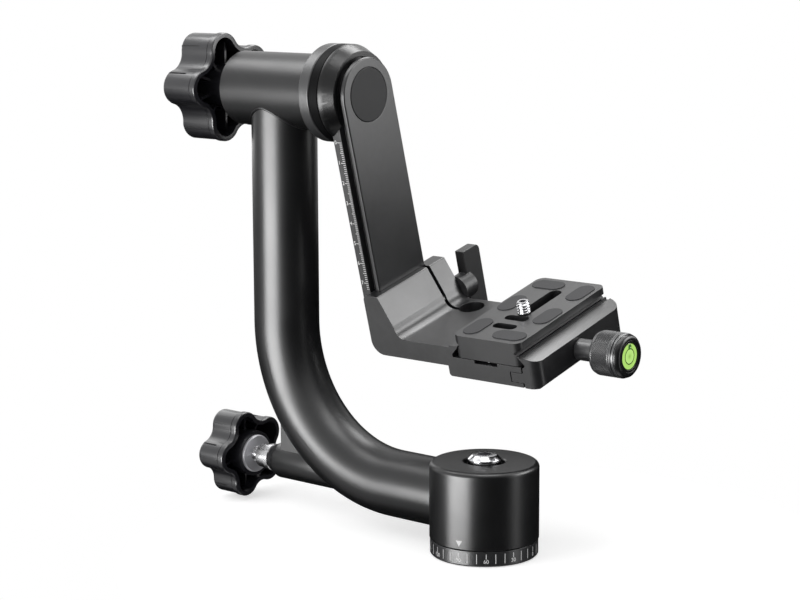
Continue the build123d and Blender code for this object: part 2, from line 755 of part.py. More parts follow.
with BuildPart() as platform_bracket:
    with BuildSketch(along(bracket_near)) as bracket_section:
        with BuildLine():
            Polyline(
                (lip_back, leg_top),
                (leg_front, leg_top),
                (slope_x, slope_z),
                (floor_left, floor_top),
                (clamp_left - 0.02, floor_top),
                (clamp_left - 0.02, floor_bottom),
                (lip_back, floor_bottom),
                close=True,
            )
        make_face()
        fillet(bracket_section.vertices().sort_by_distance((lip_back, floor_bottom))[0], 7)
        fillet(bracket_section.vertices().sort_by_distance((lip_back, leg_top))[0], 2.5)
        fillet(bracket_section.vertices().sort_by_distance((leg_front, leg_top))[0], 0.8)
        fillet(bracket_section.vertices().sort_by_distance((floor_left, floor_top))[0], 6)
        fillet(bracket_section.vertices().sort_by_distance((slope_x, slope_z))[0], 6)
    extrude(amount=bracket_near - bracket_far)
    with BuildSketch(level(floor_bottom)):
        with Locations(((clamp_left + link_right) / 2 - 1, (link_near + link_far) / 2)):
            Rectangle(link_right - clamp_left + 2, link_far - link_near)
    extrude(amount=link_top - floor_bottom)
    channel = level(floor_bottom)
    front = plate_front + slip - (groove_front - slip)
    with BuildSketch(channel) as arm_channel:
        with Locations((plate_front + slip - front / 2, 0)):
            Rectangle(front, 2 * (plate_half + slip))
        with Locations((lip_back, 0)):
            Rectangle(2 * (groove_front - slip - lip_back) + 0.01, 2 * (plate_half - groove_depth + 0.3))
    extrude(arm_channel.sketch, amount=through, mode=Mode.SUBTRACT)
    with BuildSketch(channel) as slit:
        with Locations(((relief_x + plate_front) / 2, slit_y)):
            Rectangle(relief_x - plate_front, slit_width)
    extrude(slit.sketch, amount=through, mode=Mode.SUBTRACT)
    turn(level(floor_bottom, relief_x, relief_y), relief_radius, through, Mode.SUBTRACT)
    stop_room = stop_washer_thick + stop_head_thick + 0.4
    turn(level(floor_bottom, groove_mid), stop_washer_radius + 0.4, stop_room, Mode.SUBTRACT)
    turn(along(bracket_far, lever_x, lever_z), lever_screw_hole, bracket_far - slit_y, Mode.SUBTRACT)
    turn(along(slit_y, lever_x, lever_z), lever_thread_hole, lever_thread_depth, Mode.SUBTRACT)
    with BuildSketch(level(link_top)) as thread_holes:
        with Locations(*mount_screws):
            Circle(mount_thread)
    extrude(thread_holes.sketch, amount=-mount_hole_depth, mode=Mode.SUBTRACT)

# Clamp body: fixed jaw, floor and the groove that guides the moving jaw
notch_depth = 1.6
notch_x, notch_width, notch_length = -1.5, 13.0, 7.8
corner_cut = 2.7
with BuildPart() as clamp_body:
    with BuildSketch(along(clamp_near)) as clamp_section:
        with BuildLine():
            Polyline(
                (clamp_left, clamp_bottom),
                (clamp_right, clamp_bottom),
                (clamp_right, tongue_bottom - 0.2),
                (tongue_tip - 0.5, tongue_bottom - 0.2),
                (tongue_tip - 0.5, tongue_top + 0.2),
                (clamp_right, tongue_top + 0.2),
                (clamp_right, clamp_floor),
                (-lip_tip - v_depth, clamp_floor),
                (-lip_tip - v_depth, jaw_top - lip_drop - v_depth),
                (-lip_tip, jaw_top - lip_drop),
                (-lip_tip, jaw_top),
                (clamp_left + corner_cut, jaw_top),
                (clamp_left, jaw_top - corner_cut),
                close=True,
            )
        make_face()
        fillet(clamp_section.vertices().sort_by_distance((clamp_left, clamp_bottom))[0], 1.5)
    extrude(amount=clamp_near - clamp_far)
    with BuildSketch(level(clamp_bottom)):
        with Locations(((clamp_left + link_right) / 2, (link_near + link_far) / 2)):
            Rectangle(link_right - clamp_left + 0.2, link_far - link_near + 0.2)
    extrude(amount=link_top + 0.05 - clamp_bottom, mode=Mode.SUBTRACT)
    with BuildSketch(level(clamp_floor)) as notches:
        with Locations(
            (notch_x, clamp_near + notch_length / 2),
            (notch_x, clamp_far - notch_length / 2),
        ):
            Rectangle(notch_width, notch_length)
    extrude(notches.sketch, amount=-notch_depth, mode=Mode.SUBTRACT)
    for x, y in mount_screws:
        countersink(level(clamp_floor, x, y), mount_thread, mount_head, clamp_floor - link_top + 1)
    turn(across(clamp_right, screw_y, screw_z), clamp_screw_hole, link_right - clamp_right, Mode.SUBTRACT)
    for y in guide_y:
        turn(across(tongue_tip, y, guide_z), guide_radius + 0.05, -12, Mode.SUBTRACT)

with BuildPart() as clamp_mount_screws:
    for x, y in mount_screws:
        countersunk(
            level(clamp_floor - 0.1, x, y),
            mount_thread - 0.02,
            mount_head,
            mount_length,
            mount_socket,
        )

# Height lever: round hub with a flat wing, and the screw that closes the bracket's slit
lever_hub_radius, lever_hub_length = 6.4, 8.7
wing_width, wing_depth, wing_height, wing_y = 5.2, 12.5, 35.0, 41.25
lever_screw_radius, lever_screw_end = 2.95, 5.5
lever_washer_radius, lever_washer_thick, lever_washer_y = 7.2, 1.1, 29.2
with BuildPart() as height_lever:
    turn(along(lever_far, lever_x, lever_z), lever_hub_radius, lever_hub_length)
    with BuildSketch(level(lever_z - wing_height / 2, lever_x, wing_y)):
        Rectangle(wing_width, wing_depth)
    extrude(amount=wing_height)
    wing_corners = height_lever.edges().filter_by(Axis.X).group_by(Axis.Z)
    fillet(wing_corners[0] + wing_corners[-1], 3.0)
    turn(along(lever_far, lever_x, lever_z), lever_thread_hole, lever_hub_length, Mode.SUBTRACT)

with BuildPart() as height_lever_screw:
    screw_far = lever_far - 0.1
    turn(along(screw_far, lever_x, lever_z), lever_screw_radius, screw_far - lever_screw_end)

with BuildPart() as height_lever_washer:
    washer_face = along(lever_washer_y, lever_x, lever_z)
    turn_ring(washer_face, lever_washer_radius, lever_screw_hole, lever_washer_thick)

# ================================================================ clamp jaw: slides along the tilt axis
jaw_plan_near, jaw_plan_far = 5.5, 8.0
with BuildPart() as clamp_jaw:
    lip_z = jaw_top - lip_drop
    with BuildSketch(along(clamp_near)) as jaw_section:
        with BuildLine():
            Polyline(
                (lip_tip, lip_z),
                (lip_tip + 1.2, lip_z + 0.2),
                (lip_tip + 1.2, lip_z - 1.0),
                (lip_tip + 3.4, lip_z - 1.0),
                (lip_tip + 3.4, lip_z - 0.2),
                (jaw_outer, jaw_shoulder),
                (jaw_outer, jaw_corner),
                (jaw_outer - 1.4, jaw_base),
                (jaw_wall, jaw_base),
                (jaw_wall, tongue_bottom),
                (tongue_tip, tongue_bottom),
                (tongue_tip, tongue_top),
                (jaw_wall, tongue_top),
                (jaw_wall, clamp_floor - 0.4),
                (lip_tip + v_depth, clamp_floor + 0.6),
                (lip_tip + v_depth, lip_z - v_depth),
                close=True,
            )
        make_face()
    extrude(amount=clamp_near - clamp_far)
    with BuildSketch(level(jaw_base - 2)) as jaw_plan:
        with Locations((jaw_outer / 2, mid_y)):
            Rectangle(jaw_outer, clamp_far - clamp_near)
        fillet(jaw_plan.vertices().sort_by_distance((jaw_outer, clamp_near))[0], jaw_plan_near)
        fillet(jaw_plan.vertices().sort_by_distance((jaw_outer, clamp_far))[0], jaw_plan_far)
    extrude(jaw_plan.sketch, amount=20, mode=Mode.INTERSECT)
    screw_room = clamp_screw_hole + 0.2
    turn(across(tongue_tip - 1, screw_y, screw_z), screw_room, 20, Mode.SUBTRACT)
    with BuildSketch(level(tongue_top)) as screw_gap:
        with Locations((jaw_wall / 2 + tongue_tip / 2, screw_y)):
            Rectangle(jaw_wall - tongue_tip, 2 * screw_room)
    extrude(screw_gap.sketch, amount=screw_z - tongue_top, mode=Mode.SUBTRACT)
    for y in guide_y:
        turn(across(tongue_tip, y, guide_z), guide_radius, 8, Mode.SUBTRACT)

# Two guide pins pressed in the jaw's tongue
with BuildPart() as jaw_guide_pins:
    for y in guide_y:
        turn(across(tongue_tip - 9, y, guide_z), guide_radius - 0.01, 16)

# Clamp knob: neck, knurled drum and a round cup for the spirit level
knob_radius = 10.3
knob_left, knob_right = 39.2, 55.3
knob_neck = 5.0
cup_radius, cup_depth = 7.2, 5.0
cup_bore, cup_wall_length = 6.2, 4.9
vial_back, vial_length = 4.0, 3.6
knob_groove_width, knob_groove_depth = 0.8, 0.5
clamp_screw_right = 41.4
with BuildPart() as clamp_knob:
    turn(across(jaw_outer + 0.1, screw_y, screw_z), knob_neck, knob_left - jaw_outer)
    turn(across(knob_left, screw_y, screw_z), knob_radius, knob_right - knob_left)
    knob_edges = clamp_knob.edges().filter_by(GeomType.CIRCLE)
    chamfer(knob_edges.group_by(Axis.X)[-1], 1.2)
    chamfer(knob_edges.group_by(Axis.X)[-2].sort_by(SortBy.LENGTH)[-1], 1.0)
    for x in (knob_right - 4.6, knob_right - 2.6):
        turn_ring(
            across(x, screw_y, screw_z),
            knob_radius + 1,
            knob_radius - knob_groove_depth,
            knob_groove_width,
            Mode.SUBTRACT,
        )
    turn(across(knob_right - cup_depth, screw_y, screw_z), cup_radius, cup_depth, Mode.SUBTRACT)
    turn(across(jaw_outer, screw_y, screw_z), clamp_screw_hole, 14, Mode.SUBTRACT)

with BuildPart() as clamp_screw:
    screw_left = link_right + 1.2
    turn(across(screw_left, screw_y, screw_z), clamp_screw_radius, clamp_screw_right - screw_left)

with BuildPart() as level_cup:
    turn(across(knob_right - cup_depth, screw_y, screw_z), cup_radius - 0.02, cup_wall_length)
    turn(across(knob_right - vial_back, screw_y, screw_z), cup_bore, cup_depth, Mode.SUBTRACT)

with BuildPart() as level_vial:
    turn(across(knob_right - vial_back, screw_y, screw_z), cup_bore - 0.05, vial_length)
    fillet(level_vial.edges().group_by(Axis.X)[-1], 0.5)

# ================================================================ quick plate: slides between the jaws
neck = 15.3
neck_z = -107.6
under_flange = -106.0
jaw_gap = 0.28
band_z = jaw_top - lip_drop - (plate_width / 2 - lip_tip + jaw_gap)
slot_near, slot_far, slot_width = -0.3, 30.3, 6.6
well_width, well_depth = 15.2, 7.0      # sunk slot below, for the camera screw's head
cross_slots = (-3.1, -12.4)
cross_length, cross_width = 12.8, 5.2
pads = (
    (-8.8, 34.6, 0),
    (8.8, -20.6, 0),
    (12.4, 30.2, 90),
    (-12.4, -16.2, 90),
    (-13.2, 11.2, 90),
    (13.2, 2.8, 90),
)
pad_length, pad_width, pad_sink, pad_thick = 17.4, 9.0, 0.7, 1.1
stop_pins = (clamp_near + 3.3, clamp_far - 3.3)
stop_pin_radius, stop_pin_head = 0.9, 1.5

with BuildPart() as quick_plate:
    half = plate_width / 2
    with BuildSketch(along(clamp_near)) as plate_section:
        with BuildLine():
            for side in (1, -1):
                Polyline(
                    (0, plate_top),
                    (side * half, plate_top),
                    (side * half, under_flange),
                    (side * neck, under_flange - 1.4),
                    (side * neck, neck_z),
                    (side * half, band_z),
                    (side * half, plate_base + 0.4),
                    (side * (half - 0.4), plate_base),
                    (0, plate_base),
                )
        make_face()
    extrude(amount=clamp_near - clamp_far)
    with BuildSketch(level(plate_base)) as plate_plan:
        with Locations((0, mid_y)):
            RectangleRounded(plate_width, clamp_far - clamp_near, 4)
    extrude(plate_plan.sketch, amount=20, mode=Mode.INTERSECT)
    slot_mid = (slot_near + slot_far) / 2
    slot_long = slot_far - slot_near
    stadium(level(plate_base), 0, slot_mid, slot_long, slot_width, 20, 90, Mode.SUBTRACT)
    well_long = slot_long + well_width - slot_width
    stadium(level(plate_base), 0, slot_mid, well_long, well_width, well_depth, 90, Mode.SUBTRACT)
    for y in cross_slots:
        stadium(level(plate_base), 0, y, cross_length, cross_width, 20, 0, Mode.SUBTRACT)
    for x, y, turned in pads:
        stadium(level(plate_top), x, y, pad_length, pad_width, -pad_sink, turned, Mode.SUBTRACT)
    for y in stop_pins:
        turn(level(plate_base, notch_x, y), stop_pin_radius, 5, Mode.SUBTRACT)

with BuildPart() as plate_pads:
    for x, y, turned in pads:
        stadium(level(plate_top - pad_sink), x, y, pad_length - 0.1, pad_width - 0.1, pad_thick, turned)

# Stop screws under the plate's ends, which keep it from sliding out of the clamp
with BuildPart() as plate_stop_screws:
    for y in stop_pins:
        turn(level(plate_base, notch_x, y), stop_pin_radius - 0.02, 4.8)
        turn(level(plate_base - 1.2, notch_x, y), stop_pin_head, 1.2)

# ================================================================ camera screw and its clip
camera_y = 3.0
camera_radius = 3.175       # 1/4"-20 thread, drawn plain at its major radius
camera_root = 2.5
camera_length = 6.0
camera_hex = 3.0
camera_head_z = -112.9
camera_head, camera_head_thick = 6.6, 4.6
clip_disc_radius, clip_disc_thick = 7.0, 1.0
coin_slot_depth = 1.5
with BuildPart() as screw_clip:
    clip_place = level(plate_base + well_depth - clip_disc_thick - 0.2, 0, camera_y)
    turn_ring(clip_place, clip_disc_radius, camera_root + 0.1, clip_disc_thick)

with BuildPart() as camera_screw:
    turn(level(camera_head_z, 0, camera_y), camera_head, camera_head_thick)
    turn(level(camera_head_z, 0, camera_y), camera_root, plate_top - camera_head_z)
    turn(level(plate_top, 0, camera_y), camera_radius, camera_length)
    chamfer(camera_screw.edges().group_by(Axis.Z)[-1], 0.5)
    hex_socket(level(plate_top + camera_length, 0, camera_y), camera_hex, camera_hex)
    with BuildSketch(level(camera_head_z, 0, camera_y)) as coin_slot:
        Rectangle(10, 1.4)
    extrude(coin_slot.sketch, amount=coin_slot_depth, mode=Mode.SUBTRACT)

# ================================================================ labels and files
pieces = {
    "base_plate": base_plate,
    "base_pad": base_pad,
    "pan_spindle": pan_spindle,
    "tripod_bushing": tripod_bushing,
    "base_screws": base_screws,
    "pan_inner_races": pan_inner_races,
    "pan_brake_sleeve": pan_brake_sleeve,
    "pan_top_washer": pan_top_washer,
    "pan_top_screw": pan_top_screw,
    "pan_housing": pan_housing,
    "pan_outer_races": pan_outer_races,
    "pan_bearing_balls": pan_bearing_balls,
    "pan_spacer": pan_spacer,
    "pan_retaining_clip": pan_retaining_clip,
    "arm_tube": arm_tube,
    "tilt_housing": tilt_housing,
    "tilt_end_ring": tilt_end_ring,
    "tilt_end_plug": tilt_end_plug,
    "tilt_outer_races": tilt_outer_races,
    "tilt_bearing_balls": tilt_bearing_balls,
    "tilt_spacer": tilt_spacer,
    "pan_lock_knob": pan_lock_knob,
    "pan_lock_hub": pan_lock_hub,
    "pan_lock_stud": pan_lock_stud,
    "pan_lock_rod": pan_lock_rod,
    "pan_lock_pad": pan_lock_pad,
    "tilt_lock_knob": tilt_lock_knob,
    "tilt_lock_hub": tilt_lock_hub,
    "tilt_lock_stud": tilt_lock_stud,
    "tilt_lock_pad": tilt_lock_pad,
    "tilt_inner_races": tilt_inner_races,
    "tilt_inner_sleeve": tilt_inner_sleeve,
    "tilt_spindle": tilt_spindle,
    "tilt_retaining_clip": tilt_retaining_clip,
    "tilt_dial_ring": tilt_dial_ring,
    "tilt_flange": tilt_flange,
    "flange_screws": flange_screws,
    "swing_plate": swing_plate,
    "swing_screw": swing_screw,
    "swing_cap": swing_cap,
    "arm_stop_screw": arm_stop_screw,
    "platform_bracket": platform_bracket,
    "clamp_body": clamp_body,
    "clamp_mount_screws": clamp_mount_screws,
    "height_lever": height_lever,
    "height_lever_screw": height_lever_screw,
    "height_lever_washer": height_lever_washer,
    "clamp_jaw": clamp_jaw,
    "jaw_guide_pins": jaw_guide_pins,
    "clamp_knob": clamp_knob,
    "clamp_screw": clamp_screw,
    "level_cup": level_cup,
    "level_vial": level_vial,
    "quick_plate": quick_plate,
    "plate_pads": plate_pads,
    "plate_stop_screws": plate_stop_screws,
    "screw_clip": screw_clip,
    "camera_screw": camera_screw,
}
for name, piece in pieces.items():
    piece.part.label = name
    export_step(piece.part, f"parts/{name}.step")
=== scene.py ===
import json
from math import cos, pi, radians, sin, sqrt, tau

import bmesh
import bpy
from bpy.props import FloatProperty, FloatVectorProperty, IntProperty, PointerProperty
from mathutils import Matrix, Vector

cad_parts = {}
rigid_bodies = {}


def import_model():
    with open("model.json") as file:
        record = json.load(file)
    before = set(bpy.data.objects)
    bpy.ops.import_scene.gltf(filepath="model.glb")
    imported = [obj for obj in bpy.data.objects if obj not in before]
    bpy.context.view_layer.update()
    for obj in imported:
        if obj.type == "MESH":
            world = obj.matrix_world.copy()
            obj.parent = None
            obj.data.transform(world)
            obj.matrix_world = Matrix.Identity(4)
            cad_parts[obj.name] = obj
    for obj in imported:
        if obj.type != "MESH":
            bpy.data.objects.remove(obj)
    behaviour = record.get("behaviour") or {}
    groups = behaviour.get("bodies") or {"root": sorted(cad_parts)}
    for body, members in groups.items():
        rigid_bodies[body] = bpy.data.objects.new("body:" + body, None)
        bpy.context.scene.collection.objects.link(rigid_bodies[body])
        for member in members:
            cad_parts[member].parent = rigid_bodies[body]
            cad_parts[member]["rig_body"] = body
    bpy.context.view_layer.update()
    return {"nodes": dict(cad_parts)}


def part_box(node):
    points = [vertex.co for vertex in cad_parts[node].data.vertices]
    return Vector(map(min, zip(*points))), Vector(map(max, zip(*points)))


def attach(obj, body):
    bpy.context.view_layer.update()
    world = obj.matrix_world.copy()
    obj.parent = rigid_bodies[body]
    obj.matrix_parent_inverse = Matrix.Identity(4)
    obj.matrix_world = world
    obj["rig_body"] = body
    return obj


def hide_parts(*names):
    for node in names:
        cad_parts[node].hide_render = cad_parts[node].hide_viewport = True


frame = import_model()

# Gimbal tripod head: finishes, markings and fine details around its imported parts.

bl_info = {
    "name": "Gimbal Head Finish",
    "version": (1, 0, 0),
    "blender": (4, 5, 0),
    "location": "3D View > Sidebar > Gimbal Head",
    "description": "Finishes, markings and fine details of a gimbal tripod head",
    "category": "Object",
}

MM = 0.001
WELD = 0.002 * MM           # vertices closer than this are one point
PRINT = 0.02 * MM           # thickness of printed paint


# ------------------------------------------------------------------ places, from the frame
def centre(node):
    """Middle of a CAD node's box."""
    low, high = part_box(node)
    return (low + high) / 2


def half_width(node, axis):
    """Half of a CAD node's size along an axis."""
    low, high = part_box(node)
    return (high[axis] - low[axis]) / 2


TILT_Z = centre("tilt_housing").z
LOCK_Z = centre("pan_lock_hub").z
TILT_REST = radians(15)     # swing of the cradle at rest
CRADLE = Matrix.Translation((0, 0, TILT_Z)) @ Matrix.Rotation(TILT_REST, 4, "X")
TO_CRADLE = CRADLE.inverted()
UPRIGHT = Matrix.Rotation(-pi / 2, 4, "Y")      # turns a local +X axis to stand up


def cradle_box(node):
    """Lowest and highest corners of a CAD node in the cradle's own directions."""
    points = [TO_CRADLE @ v.co for v in frame["nodes"][node].data.vertices]
    low = Vector(min(p[i] for p in points) for i in range(3))
    high = Vector(max(p[i] for p in points) for i in range(3))
    return low, high


def across_x(x, z):
    """Frame of a turned piece whose axis runs along +X from x at height z."""
    return Matrix.Translation((x, 0, z))


# ------------------------------------------------------------------ sizes and colours
def length(name, description, millimetres):
    """A length property that defaults to a number of millimetres."""
    return FloatProperty(
        name=name, description=description, default=millimetres * MM, subtype="DISTANCE", unit="LENGTH"
    )


def colour(name, description, value):
    """A colour property, in linear light."""
    return FloatVectorProperty(
        name=name, description=description, default=value, size=3, min=0, max=1, subtype="COLOR"
    )


class FinishColours(bpy.types.PropertyGroup):
    """Colours of the finishes."""

    coat: colour("Powder coat", "Drum, tube and tilt housing", (0.0060, 0.0062, 0.0070))
    turned: colour("Turned rings", "Degree ring and tilt collars", (0.020, 0.0205, 0.022))
    anodised: colour("Anodising", "Swing arm, bracket, clamp and plate", (0.012, 0.0122, 0.0132))
    cap: colour("Cap", "Disc on the swing arm", (0.022, 0.022, 0.023))
    lever: colour("Lever", "Height lever", (0.012, 0.012, 0.013))
    plastic: colour("Plastic", "Lock knobs", (0.011, 0.011, 0.014))
    hub: colour("Hub", "Turned metal in the lock knobs", (0.42, 0.42, 0.44))
    chrome: colour("Chrome", "Plated screws and stud", (0.66, 0.66, 0.68))
    steel: colour("Steel", "Bearings, pins and hidden screws", (0.50, 0.50, 0.51))
    bronze: colour("Bronze", "Brake sleeve", (0.50, 0.32, 0.14))
    rubber: colour("Rubber", "Pads", (0.050, 0.050, 0.053))
    paint: colour("Paint", "Numbers and marks", (0.82, 0.82, 0.82))
    fluid: colour("Fluid", "Spirit level", (0.50, 0.86, 0.18))
    floor: colour("Floor", "Studio floor", (0.86, 0.86, 0.86))


class MarkSizes(bpy.types.PropertyGroup):
    """Sizes of the printed numbers and marks."""

    dial_step: FloatProperty(
        name="Dial step", description="Angle between two marks", default=radians(10), subtype="ANGLE"
    )
    dial_labels: IntProperty(name="Dial labels", description="Marks from one number to the next", default=3)
    dial_tick: length("Dial mark", "Length of a plain mark on the degree ring", 4.4)
    dial_short: length("Numbered mark", "Length of a mark that has a number under it", 2.2)
    dial_width: length("Dial mark width", "Width of the degree ring's marks", 0.30)
    dial_text: length("Dial number height", "Height of the degree ring's numbers", 1.75)
    pointer: length("Pointer", "Width of the triangle on the drum", 3.2)
    rule_long: length("Long mark", "Centimetre mark on the swing arm", 2.6)
    rule_middle: length("Middle mark", "Half centimetre mark", 1.9)
    rule_short: length("Short mark", "Millimetre mark", 1.35)
    rule_width: length("Rule mark width", "Width of the swing arm's marks", 0.26)
    rule_text: length("Rule number height", "Height of the swing arm's numbers", 1.9)


class MetalSizes(bpy.types.PropertyGroup):
    """Sizes of the knurl, the threads and the edges."""

    edge: length("Edge", "Round on machined edges", 0.30)
    knurl_columns: IntProperty(name="Knurl columns", description="Points round the clamp knob", default=132)
    knurl_steps: IntProperty(name="Knurl rows", description="Rows of points along the knurl", default=18)
    knurl_depth: length("Knurl depth", "Depth of the diamond knurl", 0.32)
    camera_pitch: length("Camera thread pitch", "Quarter inch screw, 20 threads to the inch", 1.27)
    camera_depth: length("Camera thread depth", "Depth of the camera screw's thread", 0.62)
    stud_pitch: length("Stud thread pitch", "Fine thread behind the lock stud's shank", 0.8)
    stud_depth: length("Stud thread depth", "Depth of the stud's thread", 0.45)


class StudioSettings(bpy.types.PropertyGroup):
    """Camera and light."""

    azimuth: FloatProperty(
        name="Azimuth", description="Camera turn", default=radians(39.15), subtype="ANGLE"
    )
    elevation: FloatProperty(
        name="Elevation", description="Camera height angle", default=radians(9.72), subtype="ANGLE"
    )
    lens: FloatProperty(name="Lens", description="Focal length in millimetres", default=92.76)
    shift: FloatProperty(name="Shift", description="Sideways lens shift", default=-0.0537)
    fill: FloatProperty(name="Fill", description="Strength of the room's even light", default=0.7)
    glow: FloatProperty(name="Glow", description="Share of white that the floor shows alone", default=0.5)
    soft: FloatProperty(name="Soft light", description="Watts of the lamp for matt surfaces", default=1.6)
    shine: FloatProperty(name="Shine", description="Gain on the lamps for glossy surfaces", default=1.0)


class HeadSettings(bpy.types.PropertyGroup):
    """All settings of the gimbal head."""

    colours: PointerProperty(type=FinishColours)
    marks: PointerProperty(type=MarkSizes)
    metal: PointerProperty(type=MetalSizes)
    studio: PointerProperty(type=StudioSettings)


def settings():
    """The scene's settings of the gimbal head."""
    return bpy.context.scene.gimbal_head


# ------------------------------------------------------------------ node trees
class Wires:
    """Short hand for filling a node tree."""

    def __init__(self, tree):
        self.tree = tree

    def feed(self, socket, value):
        """Links a socket to an input, or sets the input to a plain value."""
        if isinstance(value, bpy.types.NodeSocket):
            self.tree.links.new(value, socket)
        else:
            socket.default_value = value

    def add(self, kind, inputs=None, **attributes):
        """Makes a node, sets its attributes and feeds its inputs by name or number."""
        node = self.tree.nodes.new(kind)
        for key, value in attributes.items():
            setattr(node, key, value)
        for key, value in (inputs or {}).items():
            self.feed(node.inputs[key], value)
        return node

    def math(self, operation, *values):
        """A math node's result."""
        node = self.add("ShaderNodeMath", operation=operation)
        for socket, value in zip(node.inputs, values):
            self.feed(socket, value)
        return node.outputs[0]


def new_tree(name, kind, inputs, outputs):
    """A node group with named inputs and outputs; inputs are (name, socket type, default)."""
    tree = bpy.data.node_groups.new(name, kind)
    for title, socket, default in inputs:
        made = tree.interface.new_socket(title, in_out="INPUT", socket_type=socket)
        if default is not None:
            made.default_value = default
    for title, socket in outputs:
        tree.interface.new_socket(title, in_out="OUTPUT", socket_type=socket)
    wires = Wires(tree)
    return tree, wires, wires.add("NodeGroupInput").outputs, wires.add("NodeGroupOutput")


# ------------------------------------------------------------------ shared shader groups
FLOAT, COLOUR, INTEGER = "NodeSocketFloat", "NodeSocketColor", "NodeSocketInt"
VECTOR = "NodeSocketVector"


def fine_grain():
    """Fine speckle over slow, broad unevenness, for coats, castings and mouldings."""
    if "fine_grain" in bpy.data.node_groups:
        return bpy.data.node_groups["fine_grain"]
    tree, wires, given, result = new_tree(
        "fine_grain",
        "ShaderNodeTree",
        [
            ("Colour", COLOUR, (0.1, 0.1, 0.1, 1)),
            ("Grain Scale", FLOAT, 2500.0),
            ("Mottle", FLOAT, 0.1),
            ("Roughness", FLOAT, 0.5),
            ("Roughness Spread", FLOAT, 0.1),
        ],
        [("Colour", COLOUR), ("Roughness", FLOAT), ("Height", FLOAT)],
    )
    place = wires.add("ShaderNodeTexCoord").outputs["Object"]
    speck = wires.add(
        "ShaderNodeTexNoise",
        {"Vector": place, "Scale": given["Grain Scale"], "Detail": 2.0, "Roughness": 0.6},
    ).outputs["Fac"]
    broad = wires.add("ShaderNodeTexNoise", {"Vector": place, "Scale": 38.0, "Detail": 3.0}).outputs["Fac"]
    speck_part = wires.math("SUBTRACT", speck, 0.5)
    broad_part = wires.math("SUBTRACT", broad, 0.5)
    both = wires.math("ADD", speck_part, broad_part)
    swing = wires.math("MULTIPLY", given["Mottle"], 2.0)
    shade = wires.math("ADD", 1.0, wires.math("MULTIPLY", both, swing))
    shaded = wires.add("ShaderNodeVectorMath", {0: given["Colour"], "Scale": shade}, operation="SCALE")
    spread = wires.math("MULTIPLY", both, given["Roughness Spread"])
    wires.feed(result.inputs["Colour"], shaded.outputs[0])
    wires.feed(result.inputs["Roughness"], wires.math("ADD", given["Roughness"], spread))
    wires.feed(result.inputs["Height"], speck)
    return tree


def edge_wear():
    """Brightens outer edges in patches: partly wear, where handling polishes the finish, and partly a
    painted edge highlight.
    """
    if "edge_wear" in bpy.data.node_groups:
        return bpy.data.node_groups["edge_wear"]
    tree, wires, given, result = new_tree(
        "edge_wear",
        "ShaderNodeTree",
        [("Colour", COLOUR, (0.1, 0.1, 0.1, 1)), ("Amount", FLOAT, 0.3), ("Lift", FLOAT, 2.0)],
        [("Colour", COLOUR)],
    )
    place = wires.add("ShaderNodeTexCoord").outputs["Object"]
    pointed = wires.add("ShaderNodeNewGeometry").outputs["Pointiness"]
    # Pointiness finds the outer edges, which are lifted in noisy patches: partly wear, partly a painted edge
    # highlight.
    edge = wires.add(
        "ShaderNodeMapRange", {"Value": pointed, "From Min": 0.515, "From Max": 0.60}
    ).outputs[0]
    patch = wires.add("ShaderNodeTexNoise", {"Vector": place, "Scale": 260.0, "Detail": 3.0}).outputs["Fac"]
    patchy = wires.add(
        "ShaderNodeMapRange", {"Value": patch, "From Min": 0.35, "From Max": 0.65}
    ).outputs[0]
    wear_and_highlight_mask = wires.math("MULTIPLY", wires.math("MULTIPLY", edge, patchy), given["Amount"])
    gain = wires.math("ADD", 1.0, wires.math("MULTIPLY", wear_and_highlight_mask, given["Lift"]))
    lifted = wires.add("ShaderNodeVectorMath", {0: given["Colour"], "Scale": gain}, operation="SCALE")
    wires.feed(result.inputs["Colour"], lifted.outputs[0])
    return tree


def turned_lines():
    """Fine tool marks: rings round an axis along X or Z through a centre."""
    if "turned_lines" in bpy.data.node_groups:
        return bpy.data.node_groups["turned_lines"]
    tree, wires, given, result = new_tree(
        "turned_lines",
        "ShaderNodeTree",
        [("Centre", VECTOR, None), ("Along", VECTOR, None), ("Pitch", FLOAT, 0.0002)],
        [("Height", FLOAT)],
    )
    place = wires.add("ShaderNodeTexCoord").outputs["Object"]
    offset = wires.add(
        "ShaderNodeVectorMath", {0: place, 1: given["Centre"]}, operation="SUBTRACT"
    ).outputs[0]
    along = wires.add("ShaderNodeVectorMath", {0: offset, 1: given["Along"]}, operation="DOT_PRODUCT")
    reach = wires.add("ShaderNodeVectorMath", {0: offset}, operation="LENGTH").outputs["Value"]
    squares = wires.math(
        "SUBTRACT", wires.math("POWER", reach, 2.0), wires.math("POWER", along.outputs["Value"], 2.0)
    )
    radius = wires.math("SQRT", wires.math("MAXIMUM", squares, 0.0))
    travel = wires.math("ADD", radius, along.outputs["Value"])
    turns = wires.math("DIVIDE", travel, given["Pitch"])
    slow = wires.math("MULTIPLY", turns, 0.35)
    wobble = wires.add(
        "ShaderNodeTexNoise", {"W": slow, "Scale": 1.0}, noise_dimensions="1D"
    ).outputs["Fac"]
    wave = wires.math("SINE", wires.math("MULTIPLY", turns, tau))
    wires.feed(result.inputs["Height"], wires.math("MULTIPLY", wires.math("ADD", wave, 1.0), wobble))
    return tree


# ------------------------------------------------------------------ materials
def grouped(wires, tree, inputs):
    """A node group placed in a material with its own values."""
    return wires.add("ShaderNodeGroup", inputs, node_tree=tree)


def new_material(name):
    """An empty node material with its Principled shader."""
    material = bpy.data.materials.new(name)
    material.use_nodes = True
    wires = Wires(material.node_tree)
    shader = material.node_tree.nodes["Principled BSDF"]
    return material, wires, shader


